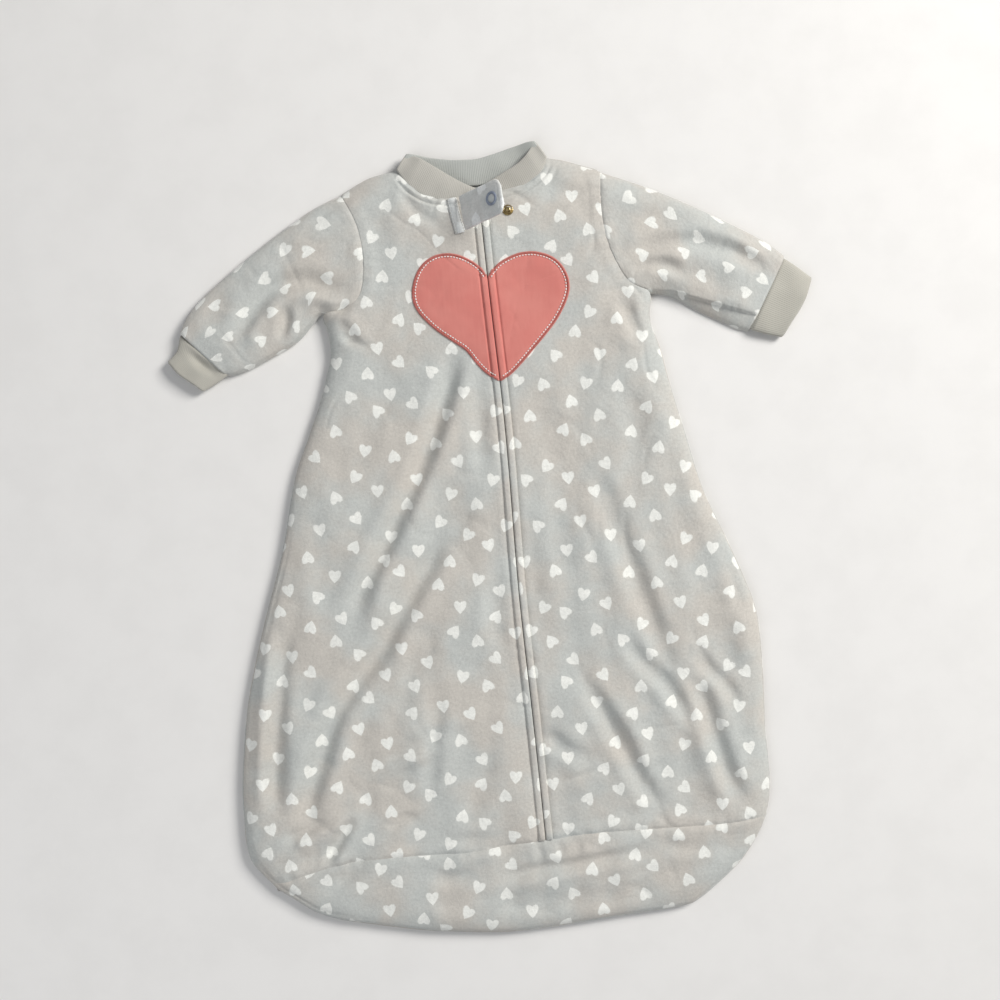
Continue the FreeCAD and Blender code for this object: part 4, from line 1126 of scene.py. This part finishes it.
def surface_normal(p, step=0.8):
    """Unit normals of the front at points (x, y)."""
    dx = (front_height(p + [step, 0]) - front_height(p - [step, 0])) / (2 * step)
    dy = (front_height(p + [0, step]) - front_height(p - [0, step])) / (2 * step)
    return unit(np.stack([-dx, -dy, np.ones(len(p))], axis=1))


heart("left")
heart("right")

# %% [markdown]
# Snap tab, lying half open over the zip's top, with its sewn-down base. It is drawn flat, as it lies when
# snapped, and then turned about its fold by the angle that the frame gives from closed to rest.

# %% Snap tab
def frame_of(joint):
    """Place in millimetres and unit axis of a joint."""
    return np.array(JOINTS[joint]["pos_m"]) * 1000, unit(np.array(JOINTS[joint]["axis"]))


def rotated(points, origin, axis, degrees):
    """Points turned about an axis through an origin by the right-hand rule."""
    a = math.radians(degrees)
    q = points - origin
    beside = np.cross(np.broadcast_to(axis, q.shape), q)
    along = (q @ axis)[..., None] * axis
    return origin + q * math.cos(a) + beside * math.sin(a) + along * (1 - math.cos(a))


TAB_AT, TAB_AXIS = frame_of("snap_tab_fold")
TAB_LIFT = -JOINTS["snap_tab_fold"]["range_deg"][0]
TAB_START, TAB_END, TAB_HALF = 4.0, 51.0, 14.6  # from the fold along X, and half its width


def tab():
    """Padded tab with rounded corners at its free end."""
    x0, x1 = TAB_AT[0] + TAB_START, TAB_AT[0] + TAB_END
    cols, rows = 64, 44
    s, t = np.linspace(0, 1, cols), np.linspace(-1, 1, rows)
    corner = np.sqrt(np.clip(1 - (np.maximum(s - 0.84, 0) / 0.16) ** 2.4, 0, 1))
    width = TAB_HALF * (0.52 + 0.48 * corner)
    x, v = np.meshgrid(x0 + s * (x1 - x0), t)
    y = TAB_AT[1] + v * width[None]
    d = np.minimum(np.minimum(width[None] * (1 - np.abs(v)), x1 - x), x - x0 + 4)
    puff = 0.9 * (1 - np.exp(-d / 2.6)) - 0.35 * np.exp(-(((d - 3.2) / 0.6) ** 2))
    ripple = 0.3 * waves(np.stack([x.ravel(), y.ravel()], axis=1), 13, 51).reshape(x.shape)
    z = TAB_AT[2] + 1.0 + puff + ripple
    grid = np.stack([x, y, z], axis=-1)
    uv = np.stack([x, y], axis=-1) / 1000 + [0.0092, 0.0035]
    up = rotated(grid, TAB_AT, TAB_AXIS, TAB_LIFT)
    # The tab's fleece is the bag's fleece painted lighter: painted light that makes up for the tab tilting
    # away from the key light.
    fabric = fleece("Fleece, tab, printed", 7, "#d3d6d4", "#dbd9d4", "#f1f2f0")
    obj = cloth("tab_cloth", up, 2.2, fabric, uv, steps=6)
    obj["flat_area"] = float((2 * width * (x1 - x0) / cols).sum() / 1e6)
    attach(obj, "snap_tab")
    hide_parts("snap_tab")


tab()


def tab_base():
    """The tab's end, sewn down on the left front beside the zip."""
    corners = np.array([(-27.2, 298.4), (-20.4, 299.0), (-15.6, 269.6), (-23.0, 268.4)])
    left = smooth([corners[3], (-25.6, 284), corners[0]], 40)
    right = smooth([corners[2], (-18.4, 284), corners[1]], 40)
    s = np.linspace(0, 1, 16)[None, :, None]
    grid = left[:, None] * (1 - s) + right[:, None] * s
    p = grid.reshape(-1, 2)
    d = np.minimum(nearest(p, left)[0], nearest(p, right)[0])
    z = front_height(p, False) + 1.5 + 0.7 * ease(d / 2.5)
    fabric = fleece("Fleece, tab base", 9, "#cfd2d1", "#d2d0cb", "#e2e4e2")
    obj = cloth("tab_base_cloth", raised(grid, z), 1.9, fabric, steps=6)
    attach(obj, "lapel_left")
    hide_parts("tab_base")
    trims["left"].append(obj)
    ring = np.concatenate([left, right[::-1], left[:1]])
    ring3 = np.concatenate([ring, (front_height(ring, False) + 1.6)[:, None]], axis=1)
    up = np.tile([0, 0, 1.0], (len(ring3), 1))
    row = stitches("tab_base_stitches", ring3, up, GREY_THREAD, 1.9, 0.5, 0.6, 0.6)
    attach(row, "lapel_left")
    trims["left"].append(row)


tab_base()

# %% [markdown]
# The snap. The stud is a brass flange with a knob, on the right front. The tab carries the enamelled ring,
# and under it the socket that takes the knob. Each is a profile turned about its own axis: the stud's
# leans with the cloth, the ring's turns with the tab.

# %% Snap
def lathed(name, profile, centre, axis, material, around=56):
    """Solid of a profile of (radius, height) pairs turned about an axis; a closed profile makes a ring."""
    profile = np.array(profile, float)
    axis = unit(np.array(axis, float))
    side = unit(np.cross(axis, [0, 1, 0.3]))
    other = np.cross(axis, side)
    t = np.arange(around) / around * 2 * math.pi
    ring = np.cos(t)[:, None] * side + np.sin(t)[:, None] * other
    poles = profile[0, 0] == 0
    body = profile[1:-1] if poles else profile
    points = (centre + body[:, None, :1] * ring[None] + body[:, None, 1:] * axis).reshape(-1, 3)
    count = len(body) * around
    bands = np.arange(len(body) - 1 if poles else len(body))[:, None] * around
    i, j = bands + np.arange(around), bands + np.roll(np.arange(around), -1)
    quads = np.stack([i, j, (j + around) % count, (i + around) % count], axis=-1)
    faces = quads.reshape(-1, 4).tolist()
    if poles:
        points = np.concatenate([points, [centre + profile[0, 1] * axis, centre + profile[-1, 1] * axis]])
        last = count - around
        faces += [(count, (k + 1) % around, k) for k in range(around)]
        faces += [(count + 1, last + k, last + (k + 1) % around) for k in range(around)]
    return build(name, points, faces, material)


STUD_AT = np.array([23.8, 283.7])
STUD_Z = float(front_height(STUD_AT[None])[0])
STUD = [(0, -1.0), (4.4, -1.0), (4.75, -0.4), (4.7, 0.25), (4.3, 0.6), (3.7, 0.5), (3.2, 0.1), (2.7, 0.1),
        (2.3, 0.5), (1.9, 1.4), (2.1, 2.1), (1.9, 2.6), (1.3, 2.9), (0.7, 2.75), (0, 2.6)]
stud = lathed("stud_brass", STUD, np.array([*STUD_AT, STUD_Z]), (-0.05, 0.04, 1), BRASS)
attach(stud, "lapel_right")
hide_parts("snap_stud")
TAB_UP = rotated(np.array([[0, 0, 1.0]]), np.zeros(3), TAB_AXIS, TAB_LIFT)[0]
RING_AT = rotated(TAB_AT[None] + [40.4, 0, 2.0], TAB_AT, TAB_AXIS, TAB_LIFT)[0]
angle = np.linspace(0, 2 * math.pi, 16, endpoint=False)
RING = np.stack([4.9 - 1.2 * np.cos(angle), 0.25 + 0.75 * np.sin(angle)], axis=1)
ring = lathed("ring_enamel", RING[::-1], RING_AT, TAB_UP, ENAMEL)
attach(ring, "snap_tab")
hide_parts("snap_cap")

# %% [markdown]
# The small hard parts that are shown as the CAD made them: each only needs its material.

# %% Metal
PLAIN_NODES = {
    "zip_slider": SLIDER_METAL, "zip_pull": SLIDER_METAL, "top_stop_left": STOP, "top_stop_right": STOP,
    "bottom_stop": STOP, "snap_ring": BRASS, "snap_socket": BRASS,
}
for node, material in PLAIN_NODES.items():
    mesh = frame["nodes"][node].data
    mesh.materials.clear()
    mesh.materials.append(material)
    print(f"{node}: {material.name}")

# %% [markdown]
# The stage: a pale floor, soft studio light, and a camera straight above. The key light is low and far to
# the upper right, so that the folds cast long soft shadows; a weak fill from the other side and a dim sky
# keep those open.

# %% Stage
CAMERA_AT = (-0.0091, 0.0342, 0.012 + 0.8696 * 50 / 36)  # the last is its height
CAMERA_TURN = -5.95  # degrees; the bag lies a little askew


def stage():
    """Floor, sky, two lights and the camera."""
    bpy.ops.mesh.primitive_plane_add(size=8.0, location=(0, 0, -0.0005))
    floor = bpy.context.object
    floor.name = "floor"
    floor.data.materials.append(hard("Floor, matte white board", "#e6e4e1", "#e3e1de", 0.85, 0.95, 60.0))
    world = bpy.data.worlds.new("Studio")
    world.use_nodes = True
    sky = world.node_tree.nodes["Background"].inputs
    sky[0].default_value, sky[1].default_value = (0.92, 0.95, 1.0, 1.0), 0.29
    bpy.context.scene.world = world
    for name, place, size, power, tint in (
        ("Key", (1.95, 1.1, 1.75), 1.1, 82.5, (1.0, 0.985, 0.96)),
        ("Fill", (-1.0, -0.8, 1.4), 1.4, 8.8, (0.95, 0.97, 1.0)),
    ):
        light = bpy.data.lights.new(name, "AREA")
        light.size, light.energy, light.color = size, power, tint
        obj = bpy.data.objects.new(name, light)
        obj.location = place
        obj.rotation_euler = (Vector((0, 0, 0)) - Vector(place)).to_track_quat("-Z", "Y").to_euler()
        bpy.context.scene.collection.objects.link(obj)
    camera = bpy.data.cameras.new("Camera")
    camera.sensor_width, camera.lens = 36.0, 50.0
    eye = bpy.data.objects.new("Camera", camera)
    eye.location = CAMERA_AT
    eye.rotation_euler = (0, 0, math.radians(CAMERA_TURN))
    bpy.context.scene.collection.objects.link(eye)
    bpy.context.scene.camera = eye
    bpy.context.scene.view_settings.view_transform = "Standard"


stage()
